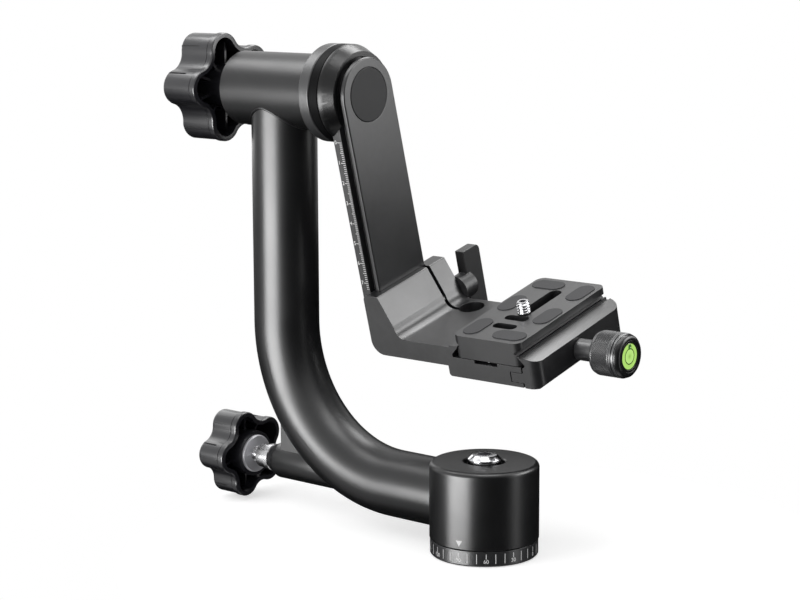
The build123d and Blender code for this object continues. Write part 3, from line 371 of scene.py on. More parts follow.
def finish(
    name, tint, roughness, metallic=0.0, specular=0.5, grain=2500.0, mottle=0.12, spread=0.12,
    bump=0.15, wear_and_highlight=0.0, gloss=0.0, turned=None,
):
    """A finish: tinted grain, worn edges that also carry a painted edge highlight, and tool marks where it
    was turned.
    """
    if name in bpy.data.materials:
        return bpy.data.materials[name]
    material, wires, shader = new_material(name)
    speckled = grouped(
        wires,
        fine_grain(),
        {
            "Colour": (*tint, 1),
            "Grain Scale": grain,
            "Mottle": mottle,
            "Roughness": roughness,
            "Roughness Spread": spread,
        },
    )
    skin = speckled.outputs["Colour"]
    # Brightened edges: partly handling wear, partly a painted edge highlight.
    if wear_and_highlight:
        worn_and_lit = grouped(wires, edge_wear(), {"Colour": skin, "Amount": wear_and_highlight, "Lift": 2.2})
        skin = worn_and_lit.outputs["Colour"]
    height = speckled.outputs["Height"]
    if turned:
        place, along, pitch = turned
        lines = grouped(wires, turned_lines(), {"Centre": place, "Along": along, "Pitch": pitch})
        height = wires.math("ADD", wires.math("MULTIPLY", height, 0.3), lines.outputs["Height"])
    relief = wires.add("ShaderNodeBump", {"Height": height, "Strength": bump, "Distance": 0.04 * MM})
    wires.feed(shader.inputs["Base Color"], skin)
    wires.feed(shader.inputs["Roughness"], speckled.outputs["Roughness"])
    wires.feed(shader.inputs["Normal"], relief.outputs["Normal"])
    wires.feed(shader.inputs["Metallic"], metallic)
    wires.feed(shader.inputs["Specular IOR Level"], specular)
    wires.feed(shader.inputs["Coat Weight"], gloss)
    wires.feed(shader.inputs["Coat Roughness"], 0.12)
    return material


def coat():
    """Black powder coat on the castings."""
    tint = settings().colours.coat
    return finish("powder_coat", tint, 0.35, specular=0.5, grain=2600, mottle=0.14, bump=0.3)


def anodised():
    """Bead-blasted, anodised aluminium of the arm, bracket, clamp and plate."""
    tint = settings().colours.anodised
    return finish("anodised", tint, 0.33, specular=0.55, grain=3400, mottle=0.08, bump=0.15, wear_and_highlight=0.5)


def plastic():
    """Glossy black moulding of the lock knobs."""
    tint = settings().colours.plastic
    return finish(
        "moulded_plastic", tint, 0.3, specular=0.6, grain=500, mottle=0.04, spread=0.04, bump=0.01, gloss=0.2
    )


def chrome():
    """Bright plating."""
    tint = settings().colours.chrome
    return finish("chrome", tint, 0.17, metallic=1.0, mottle=0.03, spread=0.05, bump=0.02)


def bright_steel():
    """Polished steel of the stud and the camera screw."""
    return finish("bright_steel", settings().colours.steel, 0.25, metallic=1.0, mottle=0.05, bump=0.04)


def steel():
    """Ground steel."""
    return finish("ground_steel", settings().colours.steel, 0.28, metallic=1.0, mottle=0.08, bump=0.08)


def bronze():
    """Turned bronze."""
    return finish("turned_bronze", settings().colours.bronze, 0.32, metallic=1.0, mottle=0.08, bump=0.08)


def rubber():
    """Matt rubber."""
    tint = settings().colours.rubber
    return finish("rubber", tint, 0.78, specular=0.3, grain=1500, mottle=0.12, bump=0.5)


def paint():
    """White printed marks, a little uneven."""
    return finish("white_print", settings().colours.paint, 0.55, grain=5000, mottle=0.10, bump=0.05)


def turned_grey(name, centre_at, along, tint=None, roughness=0.34, specular=0.8):
    """Turned, dark anodised aluminium with fine tool marks round its axis."""
    tint = tint or settings().colours.turned
    pitch = 0.22 * MM
    return finish(
        name, tint, roughness, specular=specular, grain=3400, mottle=0.08, bump=0.12, wear_and_highlight=0.3,
        turned=(centre_at, along, pitch),
    )


# ------------------------------------------------------------------ meshes and pieces
def dress(material, *nodes):
    """Gives CAD nodes that stay as they are their material."""
    for name in nodes:
        mesh = frame["nodes"][name].data
        mesh.materials.clear()
        mesh.materials.append(material)


def add_piece(name, mesh, body, stands_for=(), materials=()):
    """Puts a finished mesh in the scene on its body."""
    mesh.name = name
    for material in materials:
        mesh.materials.append(material)
    piece = bpy.data.objects.new(name, mesh)
    bpy.context.scene.collection.objects.link(piece)
    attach(piece, body)
    if stands_for:
        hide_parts(*stands_for)
    return piece


def body_of(node):
    """The body that a CAD node belongs to."""
    return frame["nodes"][node]["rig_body"]


def to_mesh(bm, name="mesh", smooth=None):
    """Turns a bmesh into a mesh; smooth is the angle, in degrees, up to which faces blend."""
    for face in bm.faces:
        face.smooth = smooth is not None
    mesh = bpy.data.meshes.new(name)
    bm.to_mesh(mesh)
    bm.free()
    if smooth is not None:
        mesh.set_sharp_from_angle(angle=radians(smooth))
    return mesh


def welded_copy(node, smooth=32, whole=True):
    """A copy of a CAD node's mesh with its points merged and, if whole, its flat faces joined."""
    bm = bmesh.new()
    bm.from_mesh(frame["nodes"][node].data)
    bmesh.ops.remove_doubles(bm, verts=bm.verts, dist=WELD)
    if whole:
        bmesh.ops.dissolve_limit(bm, angle_limit=radians(0.3), verts=bm.verts, edges=bm.edges)
    for layer in list(bm.loops.layers.float_vector.values()) + list(bm.loops.layers.uv.values()):
        if layer.name == "custom_normal":
            bm.loops.layers.float_vector.remove(layer)
    mesh = to_mesh(bm, node, smooth)
    if "custom_normal" in mesh.attributes:
        mesh.attributes.remove(mesh.attributes["custom_normal"])
        mesh.set_sharp_from_angle(angle=radians(smooth))
    return mesh


def rounded(node, material, width=None, segments=2, angle=32, whole=True):
    """A CAD node with its sharp edges slightly rounded, shown in the node's place."""
    mesh = welded_copy(node, angle, whole)
    piece = add_piece(f"{node}_finished", mesh, body_of(node), [node], [material])
    bevel = piece.modifiers.new("edges", "BEVEL")
    bevel.width = width or settings().metal.edge
    bevel.segments = segments
    bevel.limit_method = "ANGLE"
    bevel.angle_limit = radians(angle)
    bevel.harden_normals = True
    return piece


def lathe(profile, place, segments=96, closed=False, smooth=32):
    """A turned mesh. The profile is (distance along +X, radius) in metres; closed joins its ends."""
    bm = bmesh.new()
    rings = []
    for along, radius in profile:
        if radius < WELD:
            rings.append([bm.verts.new((along, 0, 0))])
            continue
        angles = [tau * i / segments for i in range(segments)]
        rings.append([bm.verts.new((along, radius * cos(a), radius * sin(a))) for a in angles])
    followers = rings[1:] + (rings[:1] if closed else [])
    for near, far in zip(rings, followers):
        for i in range(segments):
            j = (i + 1) % segments
            corners = [near[i % len(near)], near[j % len(near)], far[j % len(far)], far[i % len(far)]]
            corners = list(dict.fromkeys(corners))
            bm.faces.new(corners)
    bmesh.ops.recalc_face_normals(bm, faces=bm.faces)
    bm.transform(place)
    return to_mesh(bm, "lathe", smooth)


def join(*meshes):
    """One mesh from several, keeping smooth faces and sharp edges."""
    bm = bmesh.new()
    for mesh in meshes:
        bm.from_mesh(mesh)
    joined = bpy.data.meshes.new("joined")
    bm.to_mesh(joined)
    bm.free()
    return joined


def from_tree(tree, values):
    """Runs a geometry tree once and returns its result as a plain mesh."""
    holder = bpy.data.objects.new("holder", bpy.data.meshes.new("holder"))
    bpy.context.scene.collection.objects.link(holder)
    modifier = holder.modifiers.new("tree", "NODES")
    modifier.node_group = tree
    sockets = {item.name: item.identifier for item in tree.interface.items_tree if item.in_out == "INPUT"}
    for name, value in values.items():
        modifier[sockets[name]] = value
    view = bpy.context.evaluated_depsgraph_get()
    mesh = bpy.data.meshes.new_from_object(holder.evaluated_get(view), depsgraph=view)
    holder.modifiers.remove(modifier)
    bpy.data.objects.remove(holder)
    return mesh


def cleaned(mesh, place, smooth=None):
    """Merges a mesh's doubled points, turns its faces outwards and puts it in place."""
    bm = bmesh.new()
    bm.from_mesh(mesh)
    bmesh.ops.remove_doubles(bm, verts=bm.verts, dist=WELD)
    bmesh.ops.recalc_face_normals(bm, faces=bm.faces)
    bm.transform(place)
    made = to_mesh(bm, mesh.name, smooth)
    for material in mesh.materials:
        made.materials.append(material)
    return made


# ------------------------------------------------------------------ geometry trees
def finish_tree(wires, geometry, given, result):
    """Ends a geometry tree: real geometry with its material."""
    real = wires.add("GeometryNodeRealizeInstances", {0: geometry}).outputs[0]
    painted = wires.add("GeometryNodeSetMaterial", {"Geometry": real, "Material": given["Material"]})
    wires.feed(result.inputs[0], painted.outputs[0])


GEOMETRY_OUT = [("Geometry", "NodeSocketGeometry")]
MATERIAL_IN = ("Material", "NodeSocketMaterial", None)


def dial_marks():
    """Marks round a drum: short ones where a number stands, long ones between."""
    tree, wires, given, result = new_tree(
        "dial_marks",
        "GeometryNodeTree",
        [
            ("Count", INTEGER, 36),
            ("Step", FLOAT, 0.1),
            ("Start", FLOAT, 0.0),
            ("Per Number", INTEGER, 3),
            ("Radius", FLOAT, 0.02),
            ("Plain", FLOAT, 0.004),
            ("Numbered", FLOAT, 0.002),
            ("Width", FLOAT, 0.0003),
            ("Depth", FLOAT, 0.0001),
            MATERIAL_IN,
        ],
        GEOMETRY_OUT,
    )
    index = wires.add("GeometryNodeInputIndex").outputs[0]
    angle = wires.math("ADD", given["Start"], wires.math("MULTIPLY", index, given["Step"]))
    numbered = wires.math("LESS_THAN", wires.math("MODULO", index, given["Per Number"]), 0.5)
    shorter = wires.math("MULTIPLY", numbered, wires.math("SUBTRACT", given["Plain"], given["Numbered"]))
    long = wires.math("SUBTRACT", given["Plain"], shorter)
    spot = wires.add(
        "ShaderNodeCombineXYZ",
        {
            "X": wires.math("MULTIPLY", given["Radius"], wires.math("COSINE", angle)),
            "Y": wires.math("MULTIPLY", given["Radius"], wires.math("SINE", angle)),
            "Z": wires.math("MULTIPLY", long, -0.5),
        },
    )
    points = wires.add("GeometryNodePoints", {"Count": given["Count"], "Position": spot.outputs[0]})
    block = wires.add("ShaderNodeCombineXYZ", {"X": given["Depth"], "Y": given["Width"], "Z": 1.0})
    mark = wires.add("GeometryNodeMeshCube", {"Size": block.outputs[0]})
    turn = wires.add("ShaderNodeCombineXYZ", {"Z": angle})
    stretch = wires.add("ShaderNodeCombineXYZ", {"X": 1.0, "Y": 1.0, "Z": long})
    placed = wires.add(
        "GeometryNodeInstanceOnPoints",
        {"Points": points.outputs[0], "Instance": mark.outputs[0], "Rotation": turn.outputs[0],
         "Scale": stretch.outputs[0]},
    )
    finish_tree(wires, placed.outputs[0], given, result)
    return tree


def rule_marks():
    """A ruler's marks, downwards from the origin: every tenth long, every fifth of middle length."""
    tree, wires, given, result = new_tree(
        "rule_marks",
        "GeometryNodeTree",
        [
            ("Count", INTEGER, 71),
            ("Step", FLOAT, 0.001),
            ("Long", FLOAT, 0.003),
            ("Middle", FLOAT, 0.002),
            ("Short", FLOAT, 0.001),
            ("Width", FLOAT, 0.0002),
            ("Depth", FLOAT, 0.0001),
            MATERIAL_IN,
        ],
        GEOMETRY_OUT,
    )
    index = wires.add("GeometryNodeInputIndex").outputs[0]
    tenth = wires.math("LESS_THAN", wires.math("MODULO", index, 10.0), 0.5)
    fifth = wires.math("LESS_THAN", wires.math("MODULO", index, 5.0), 0.5)
    middle_more = wires.math("MULTIPLY", fifth, wires.math("SUBTRACT", given["Middle"], given["Short"]))
    long_more = wires.math("MULTIPLY", tenth, wires.math("SUBTRACT", given["Long"], given["Middle"]))
    reach = wires.math("ADD", given["Short"], wires.math("ADD", middle_more, long_more))
    spot = wires.add(
        "ShaderNodeCombineXYZ",
        {
            "X": wires.math("MULTIPLY", reach, -0.5),
            "Z": wires.math("MULTIPLY", wires.math("MULTIPLY", index, given["Step"]), -1.0),
        },
    )
    points = wires.add("GeometryNodePoints", {"Count": given["Count"], "Position": spot.outputs[0]})
    block = wires.add("ShaderNodeCombineXYZ", {"X": 1.0, "Y": given["Depth"], "Z": given["Width"]})
    mark = wires.add("GeometryNodeMeshCube", {"Size": block.outputs[0]})
    stretch = wires.add("ShaderNodeCombineXYZ", {"X": reach, "Y": 1.0, "Z": 1.0})
    placed = wires.add(
        "GeometryNodeInstanceOnPoints",
        {"Points": points.outputs[0], "Instance": mark.outputs[0], "Scale": stretch.outputs[0]},
    )
    finish_tree(wires, placed.outputs[0], given, result)
    return tree


def sleeve_tree(name, extra_inputs, relief):
    """A closed sleeve round +X. relief(wires, given, column, row, angle, along) raises its outer wall."""
    tree, wires, given, result = new_tree(
        name,
        "GeometryNodeTree",
        [
            ("Columns", INTEGER, 48),
            ("Steps", INTEGER, 16),
            ("Length", FLOAT, 0.01),
            ("Outer", FLOAT, 0.01),
            ("Inner", FLOAT, 0.009),
            ("Depth", FLOAT, 0.0003),
            *extra_inputs,
            MATERIAL_IN,
        ],
        GEOMETRY_OUT,
    )
    rows = wires.math("ADD", given["Steps"], 4.0)
    sheet = wires.add(
        "GeometryNodeMeshGrid",
        {"Vertices X": wires.math("ADD", given["Columns"], 1.0), "Vertices Y": rows},
    )
    index = wires.add("GeometryNodeInputIndex").outputs[0]
    column = wires.math("FLOOR", wires.math("DIVIDE", wires.math("ADD", index, 0.5), rows))
    row = wires.math("SUBTRACT", index, wires.math("MULTIPLY", column, rows))
    angle = wires.math("MULTIPLY", wires.math("DIVIDE", column, given["Columns"]), tau)
    raised = wires.math("MAXIMUM", wires.math("SUBTRACT", row, 1.0), 0.0)
    level = wires.math("MINIMUM", raised, given["Steps"])
    not_last = wires.math("LESS_THAN", row, wires.math("ADD", given["Steps"], 2.5))
    share = wires.math("MULTIPLY", wires.math("DIVIDE", level, given["Steps"]), not_last)
    along = wires.math("MULTIPLY", share, given["Length"])
    outside = wires.math(
        "MULTIPLY",
        wires.math("GREATER_THAN", row, 0.5),
        wires.math("LESS_THAN", row, wires.math("ADD", given["Steps"], 1.5)),
    )
    height = wires.math("MULTIPLY", given["Depth"], relief(wires, given, column, row, angle, along))
    wall = wires.math("ADD", wires.math("SUBTRACT", given["Outer"], given["Depth"]), height)
    rise = wires.math("MULTIPLY", outside, wires.math("SUBTRACT", wall, given["Inner"]))
    radius = wires.math("ADD", given["Inner"], rise)
    spot = wires.add(
        "ShaderNodeCombineXYZ",
        {
            "X": along,
            "Y": wires.math("MULTIPLY", radius, wires.math("COSINE", angle)),
            "Z": wires.math("MULTIPLY", radius, wires.math("SINE", angle)),
        },
    )
    bent = wires.add("GeometryNodeSetPosition", {"Geometry": sheet.outputs[0], "Position": spot.outputs[0]})
    merged = wires.add("GeometryNodeMergeByDistance", {"Geometry": bent.outputs[0], "Distance": WELD})
    cut = wires.add("GeometryNodeTriangulate", {"Mesh": merged.outputs[0]}, quad_method="SHORTEST_DIAGONAL")
    finish_tree(wires, cut.outputs[0], given, result)
    return tree


def knurl_relief(wires, given, column, row, angle, along):
    """Diamond points on every other vertex, and flat ends."""
    inner_row = wires.math(
        "MULTIPLY",
        wires.math("GREATER_THAN", row, 1.5),
        wires.math("LESS_THAN", row, wires.math("ADD", given["Steps"], 0.5)),
    )
    checker = wires.math("MODULO", wires.math("ADD", column, row), 2.0)
    return wires.math("MULTIPLY", inner_row, checker)


def thread_relief(wires, given, column, row, angle, along):
    """A helical thread with flattened crests that runs out at both ends."""
    left = wires.math("DIVIDE", along, given["Pitch"])
    turns = wires.math("SUBTRACT", left, wires.math("DIVIDE", angle, tau))
    phase = wires.math("FRACT", turns)
    wave = wires.math("ABSOLUTE", wires.math("SUBTRACT", wires.math("MULTIPLY", phase, 2.0), 1.0))
    crest = wires.math("MINIMUM", wires.math("MULTIPLY", wave, 1.25), 1.0)
    right = wires.math("DIVIDE", wires.math("SUBTRACT", given["Length"], along), given["Pitch"])
    ends = wires.math("MINIMUM", wires.math("MULTIPLY", wires.math("MINIMUM", left, right), 2.0), 1.0)
    return wires.math("MULTIPLY", crest, ends)


# ------------------------------------------------------------------ numbers
def number_mesh(text, height):
    """A printed number as a flat mesh: x to the right, y up, thin along z, centred."""
    curve = bpy.data.curves.new("number", "FONT")
    curve.body = text
    curve.size = height / 0.7           # capital height of the built-in letters
    curve.align_x = "CENTER"
    curve.align_y = "CENTER"
    curve.extrude = PRINT
    curve.resolution_u = 3
    holder = bpy.data.objects.new("number", curve)
    bpy.context.scene.collection.objects.link(holder)
    view = bpy.context.evaluated_depsgraph_get()
    mesh = bpy.data.meshes.new_from_object(holder.evaluated_get(view), depsgraph=view)
    bpy.data.objects.remove(holder)
    return mesh


def wrapped(mesh, radius, angle, height):
    """Bends a flat mesh round the vertical axis, so that it reads from outside."""
    for vertex in mesh.vertices:
        x, y, z = vertex.co
        turn = angle + x / radius
        out = radius + z
        vertex.co = (out * cos(turn), out * sin(turn), height + y)
    return mesh


# ------------------------------------------------------------------ operators
class PieceOperator(bpy.types.Operator):
    """Base of the operators: each one makes its pieces and finishes."""

    bl_options = {"REGISTER", "UNDO"}

    def execute(self, context):
        self.make(settings())
        return {"FINISHED"}


class GIMBAL_OT_castings(PieceOperator):
    """Powder-coated drum, J-shaped tube and tilt housing"""

    bl_idname = "gimbal.castings"
    bl_label = "Castings"

    def make(self, s):
        black = coat()
        rounded("pan_housing", black, 0.25 * MM)
        rounded("arm_tube", black, 0.5 * MM, 3)
        rounded("tilt_housing", black, 0.25 * MM)
        self.weld_bead(black)

    def weld_bead(self, black):
        """The soft joint line where the upright tube meets the tilt housing."""
        tube = half_width("arm_tube", 1)
        housing = half_width("tilt_housing", 1)
        steps, sides, bead = 120, 10, 0.7 * MM
        middle_x = -121.8 * MM          # the upright tube's own axis
        bm = bmesh.new()
        rings = []
        for i in range(steps):
            turn = tau * i / steps
            spot = Vector((middle_x + tube * cos(turn), tube * sin(turn), 0))
            spot.z = TILT_Z - sqrt(housing**2 - spot.y**2)
            out = Vector((cos(turn), sin(turn), 0))
            down = Vector((0, 0, -1))
            rings.append(
                [
                    bm.verts.new(spot + bead * (cos(tau * k / sides) * out + sin(tau * k / sides) * down))
                    for k in range(sides)
                ]
            )
        for near, far in zip(rings, rings[1:] + rings[:1]):
            for k in range(sides):
                n = (k + 1) % sides
                bm.faces.new([near[k], near[n], far[n], far[k]])
        bmesh.ops.recalc_face_normals(bm, faces=bm.faces)
        add_piece("tube_joint", to_mesh(bm, "bead", 60), "arm", materials=[black])


class GIMBAL_OT_base_dial(PieceOperator):
    """Degree ring with its marks and numbers, and the pointer on the drum"""

    bl_idname = "gimbal.base_dial"
    bl_label = "Base and dial"

    zero_at = radians(10.12)            # where the zero stands, from +X
    pointer_at = radians(-78.8)

    def make(self, s):
        marks = s.marks
        ring = turned_grey("turned_ring", (0, 0, 0), (0, 0, 1))
        rounded("base_plate", ring, 0.15 * MM)
        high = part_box("base_plate")[1]
        radius = high.x
        top = high.z - 1.1 * MM
        white = paint()
        count = round(tau / marks.dial_step)
        lines = from_tree(
            dial_marks(),
            {
                "Count": count,
                "Step": -marks.dial_step,
                "Start": self.zero_at,
                "Per Number": marks.dial_labels,
                "Radius": radius,
                "Plain": marks.dial_tick,
                "Numbered": marks.dial_short,
                "Width": marks.dial_width,
                "Depth": 2 * PRINT,
                "Material": white,
            },
        )
        lines.transform(Matrix.Translation((0, 0, top)))
        parts = [lines]
        number_z = top - marks.dial_short - 0.35 * MM - marks.dial_text / 2
        for i in range(0, count, marks.dial_labels):
            degrees_here = round(i * marks.dial_step * 180 / pi)
            angle = self.zero_at - i * marks.dial_step
            number = number_mesh(str(degrees_here), marks.dial_text)
            parts.append(wrapped(number, radius, angle, number_z))
        add_piece("dial_print", join(*parts), "base", materials=[white])
        self.pointer(s, white)

    def pointer(self, s, white):
        """The white triangle on the drum, pointing down at the dial."""
        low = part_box("pan_housing")[0]
        radius = 25.0 * MM              # the drum's own radius
        lift = 1.5 * MM                 # from the drum's lower edge to the tip
        half = s.marks.pointer / 2
        deep = s.marks.pointer * 0.86   # about equal sides
        bm = bmesh.new()
        columns = 8
        rows = []
        for i in range(columns + 1):
            x = half * (2 * i / columns - 1)
            y = -deep * (1 - abs(x) / half)
            rows.append([(x, 0.0), (x, y)])
        for z in (-PRINT, PRINT):
            sheet = [[bm.verts.new((x, y, z)) for x, y in row] for row in rows]
            for left, right in zip(sheet, sheet[1:]):
                bm.faces.new([left[0], left[1], right[1], right[0]])
        bmesh.ops.remove_doubles(bm, verts=bm.verts, dist=WELD)
        mesh = to_mesh(bm, "pointer")
        wrapped(mesh, radius, self.pointer_at, low.z + lift + deep)
        add_piece("drum_pointer", mesh, "arm", materials=[white])


class GIMBAL_OT_arm_scale(PieceOperator):
    """Swing arm, its cap disc and the centimetre scale on its edge"""

    bl_idname = "gimbal.arm_scale"
    bl_label = "Swing arm and scale"

    numbers = 8
    first = -18.0 * MM
    step = 1.0 * MM

    def make(self, s):
        grey = anodised()
        rounded("swing_plate", grey, 0.3 * MM)
        cap = finish("cap_disc", s.colours.cap, 0.5, specular=0.2, grain=2200, mottle=0.06, bump=0.12)
        rounded("swing_cap", cap, 0.12 * MM)
        white = paint()
        low = cradle_box("swing_plate")[0]
        groove = low.x + 5.1 * MM
        edge_y = low.y
        lines = from_tree(
            rule_marks(),
            {
                "Count": 10 * (self.numbers - 1) + 4,
                "Step": self.step,
                "Long": s.marks.rule_long,
                "Middle": s.marks.rule_middle,
                "Short": s.marks.rule_short,
                "Width": s.marks.rule_width,
                "Depth": 2 * PRINT,
                "Material": white,
            },
        )
        edge = 0.35 * MM
        lines.transform(Matrix.Translation((groove - edge, edge_y, self.first)))
        parts = [lines]
        facing = Matrix.Rotation(pi / 2, 4, "X")
        for i in range(self.numbers):
            number = number_mesh(str(i), s.marks.rule_text)
            x = groove - edge - s.marks.rule_long - 0.95 * MM
            number.transform(Matrix.Translation((x, edge_y, self.first - 10 * i * self.step)) @ facing)
            parts.append(number)
        print_mesh = join(*parts)
        print_mesh.transform(CRADLE)
        add_piece("arm_scale_print", print_mesh, "swing_arm", materials=[white])


class GIMBAL_OT_tilt_collars(PieceOperator):
    """Collars, dial ring and coned flange on the tilt axis"""

    bl_idname = "gimbal.tilt_collars"
    bl_label = "Tilt collars"

    def make(self, s):
        axis_point = (0, 0, TILT_Z)
        grey = turned_grey("turned_collar", axis_point, (1, 0, 0), s.colours.turned, 0.38, 0.7)
        dark = turned_grey("turned_dark", axis_point, (1, 0, 0), s.colours.coat / 2, 0.45, 0.05)
        cone = turned_grey("turned_cone", axis_point, (1, 0, 0), s.colours.coat / 2, 0.3, 0.3)
        rounded("tilt_end_ring", grey, 0.2 * MM)
        rounded("tilt_dial_ring", dark, 0.2 * MM)
        rounded("tilt_flange", cone, 0.2 * MM)
        dress(dark, "tilt_end_plug")


class GIMBAL_OT_lock_knobs(PieceOperator):
    """Lobed plastic knobs with their metal hubs and studs"""

    bl_idname = "gimbal.lock_knobs"
    bl_label = "Lock knobs"

    def make(self, s):
        black = plastic()
        metal = finish(
            "turned_hub", s.colours.hub, 0.42, metallic=0.6, mottle=0.05, bump=0.1,
            turned=((0, 0, LOCK_Z), (1, 0, 0), 0.35 * MM),
        )
        tint = s.colours.plastic
        matt = finish("moulded_end", tint, 0.6, specular=0.08, grain=1600, mottle=0.06, bump=0.2)
        for node in ("pan_lock_knob", "tilt_lock_knob"):
            knob = rounded(node, black, 0.3 * MM, 2, 40, False)
            knob.data.materials.append(matt)
            for face in knob.data.polygons:
                if face.normal.x < -0.9:
                    face.material_index = 1
        rounded("pan_lock_hub", metal, 0.12 * MM)
        dress(metal, "tilt_lock_hub")
        dress(chrome(), "tilt_lock_stud")
        self.stud(s)

    def stud(self, s):
        """The pan lock's plated stud: fine thread, shank, shoulder and the long thread."""
        low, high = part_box("pan_lock_stud")
        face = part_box("pan_lock_hub")[1].x
        root = 3.5 * MM
        crest = 3.97 * MM
        shank = 6.0 * MM
        shank_from = -139.5 * MM
        shoulder_from = -133.4 * MM
        shoulder_to = -130.6 * MM
        screw = 4.95 * MM
        profile = [
            (low.x, 0),
            (low.x, root),
            (shank_from, root),
            (shank_from, shank - 0.8 * MM),
            (shank_from + 0.8 * MM, shank),
            (shoulder_from, shank),
            (shoulder_from, shank + 0.3 * MM),
            (shoulder_from + 0.3 * MM, shank + 0.6 * MM),
            (shoulder_to - 0.3 * MM, shank + 0.6 * MM),
            (shoulder_to, shank + 0.3 * MM),
            (shoulder_to, screw),
            (high.x, screw),
            (high.x, 0),
        ]
        core = lathe(profile, across_x(0, LOCK_Z))
        thread = from_tree(
            sleeve_tree("thread", [("Pitch", FLOAT, 0.001)], thread_relief),
            {
                "Columns": 48,
                "Steps": 44,
                "Length": shank_from - face + 0.5 * MM,
                "Outer": crest,
                "Inner": root - 0.2 * MM,
                "Depth": s.metal.stud_depth,
                "Pitch": s.metal.stud_pitch,
                "Material": chrome(),
            },
        )
        ridge = cleaned(thread, across_x(face - 0.4 * MM, LOCK_Z), 32)
        ridge.materials.clear()
        whole = join(core, ridge)
        finish_here = [bright_steel()]
        add_piece(
            "pan_lock_stud_threaded", whole, "pan_lock_handle", ["pan_lock_stud"], finish_here
        )


class GIMBAL_OT_platform(PieceOperator):
    """Bracket that slides on the swing arm, with the clamp's fixed side"""

    bl_idname = "gimbal.platform"
    bl_label = "Platform and clamp"

    def make(self, s):
        grey = anodised()
        rounded("platform_bracket", grey, 0.3 * MM)
        rounded("clamp_body", grey, 0.3 * MM)
        rounded("clamp_jaw", grey, 0.32 * MM)
        dress(steel(), "clamp_mount_screws", "jaw_guide_pins", "clamp_screw")


class GIMBAL_OT_height_lever(PieceOperator):
    """Cast lever that closes the bracket on the arm"""

    bl_idname = "gimbal.height_lever"
    bl_label = "Height lever"

    def make(self, s):
        grey = finish("cast_lever", s.colours.lever, 0.45, grain=1800, mottle=0.12, bump=0.3, wear_and_highlight=0.3)
        rounded("height_lever", grey, 0.5 * MM, 3)
        dress(grey, "height_lever_washer")
        dark = finish("dark_steel", s.colours.lever, 0.35, specular=0.7, mottle=0.08, bump=0.08)
        dress(dark, "height_lever_screw")


class GIMBAL_OT_clamp_knob(PieceOperator):
    """Knurled clamp knob with two polished rings and the level's cup"""

    bl_idname = "gimbal.clamp_knob"
    bl_label = "Clamp knob"

    def make(self, s):
        low, high = cradle_box("clamp_knob")
        middle = (low + high) / 2
        radius = (high.z - low.z) / 2
        left = low.x
        right = high.x
        drum_left = right - 16.1 * MM
        neck = 5.0 * MM
        cup = 7.2 * MM
        cup_floor = right - 5.0 * MM
        bore = 2.5 * MM
        bore_end = 41.7 * MM            # inner end of the screw's bore, from the pan axis
        root = radius - s.metal.knurl_depth
        ring_from = right - 5.2 * MM
        knurl_from = drum_left + 1.2 * MM
        knurl_to = ring_from - 0.6 * MM
        groove = 0.55 * MM
        profile = [
            (left, bore),
            (left, neck - 0.3 * MM),
            (left + 0.3 * MM, neck),
            (drum_left - 0.6 * MM, neck),
            (drum_left, neck + 0.6 * MM),
            (drum_left, radius - 1.1 * MM),
            (drum_left + 0.3 * MM, radius - 0.6 * MM),
            (knurl_from, root - 0.02 * MM),
            (knurl_to, root - 0.02 * MM),
            (ring_from, radius - 0.05 * MM),
            (right - 4.3 * MM, radius - 0.05 * MM),
            (right - 4.15 * MM, radius - groove),
            (right - 3.65 * MM, radius - groove),
            (right - 3.5 * MM, radius - 0.05 * MM),
            (right - 2.7 * MM, radius - 0.05 * MM),
            (right - 2.5 * MM, radius - groove),
            (right - 2.1 * MM, radius - groove),
            (right - 2.1 * MM, cup),
            (cup_floor, cup),
            (cup_floor, bore / 2),
            (bore_end, bore / 2),
            (bore_end, bore),
        ]
        place = CRADLE @ Matrix.Translation((0, middle.y, middle.z))
        body = lathe(profile, place, 132, closed=True, smooth=28)
        rim = [
            (right - 2.1 * MM, cup),
            (right - 2.1 * MM, radius - 0.45 * MM),
            (right - 1.9 * MM, radius - 0.35 * MM),
            (right - 0.9 * MM, radius - 0.7 * MM),
            (right - 0.25 * MM, radius - 1.4 * MM),
            (right, radius - 2.1 * MM),
            (right, cup + 0.2 * MM),
            (right - 0.2 * MM, cup),
        ]
        black = finish("knob_face", s.colours.coat, 0.3, specular=0.4, mottle=0.06, bump=0.05)
        face = lathe(rim, place, 132, closed=True)
        add_piece("clamp_knob_rim", face, "jaw_knob", materials=[black])
        knurl = from_tree(
            sleeve_tree("knurl", [], knurl_relief),
            {
                "Columns": s.metal.knurl_columns,
                "Steps": s.metal.knurl_steps,
                "Length": knurl_to - knurl_from,
                "Outer": radius,
                "Inner": root - 0.4 * MM,
                "Depth": s.metal.knurl_depth,
                "Material": anodised(),
            },
        )
        knurl = cleaned(knurl, place @ Matrix.Translation((knurl_from, 0, 0)))
        knurl.materials.clear()
        tint = s.colours.turned * 1.4
        grey = finish(
            "anodised_knob", tint, 0.34, specular=0.9, grain=3400, mottle=0.06, bump=0.06, wear_and_highlight=0.5
        )
        add_piece("clamp_knob_knurled", join(body, knurl), "jaw_knob", ["clamp_knob"], [grey])


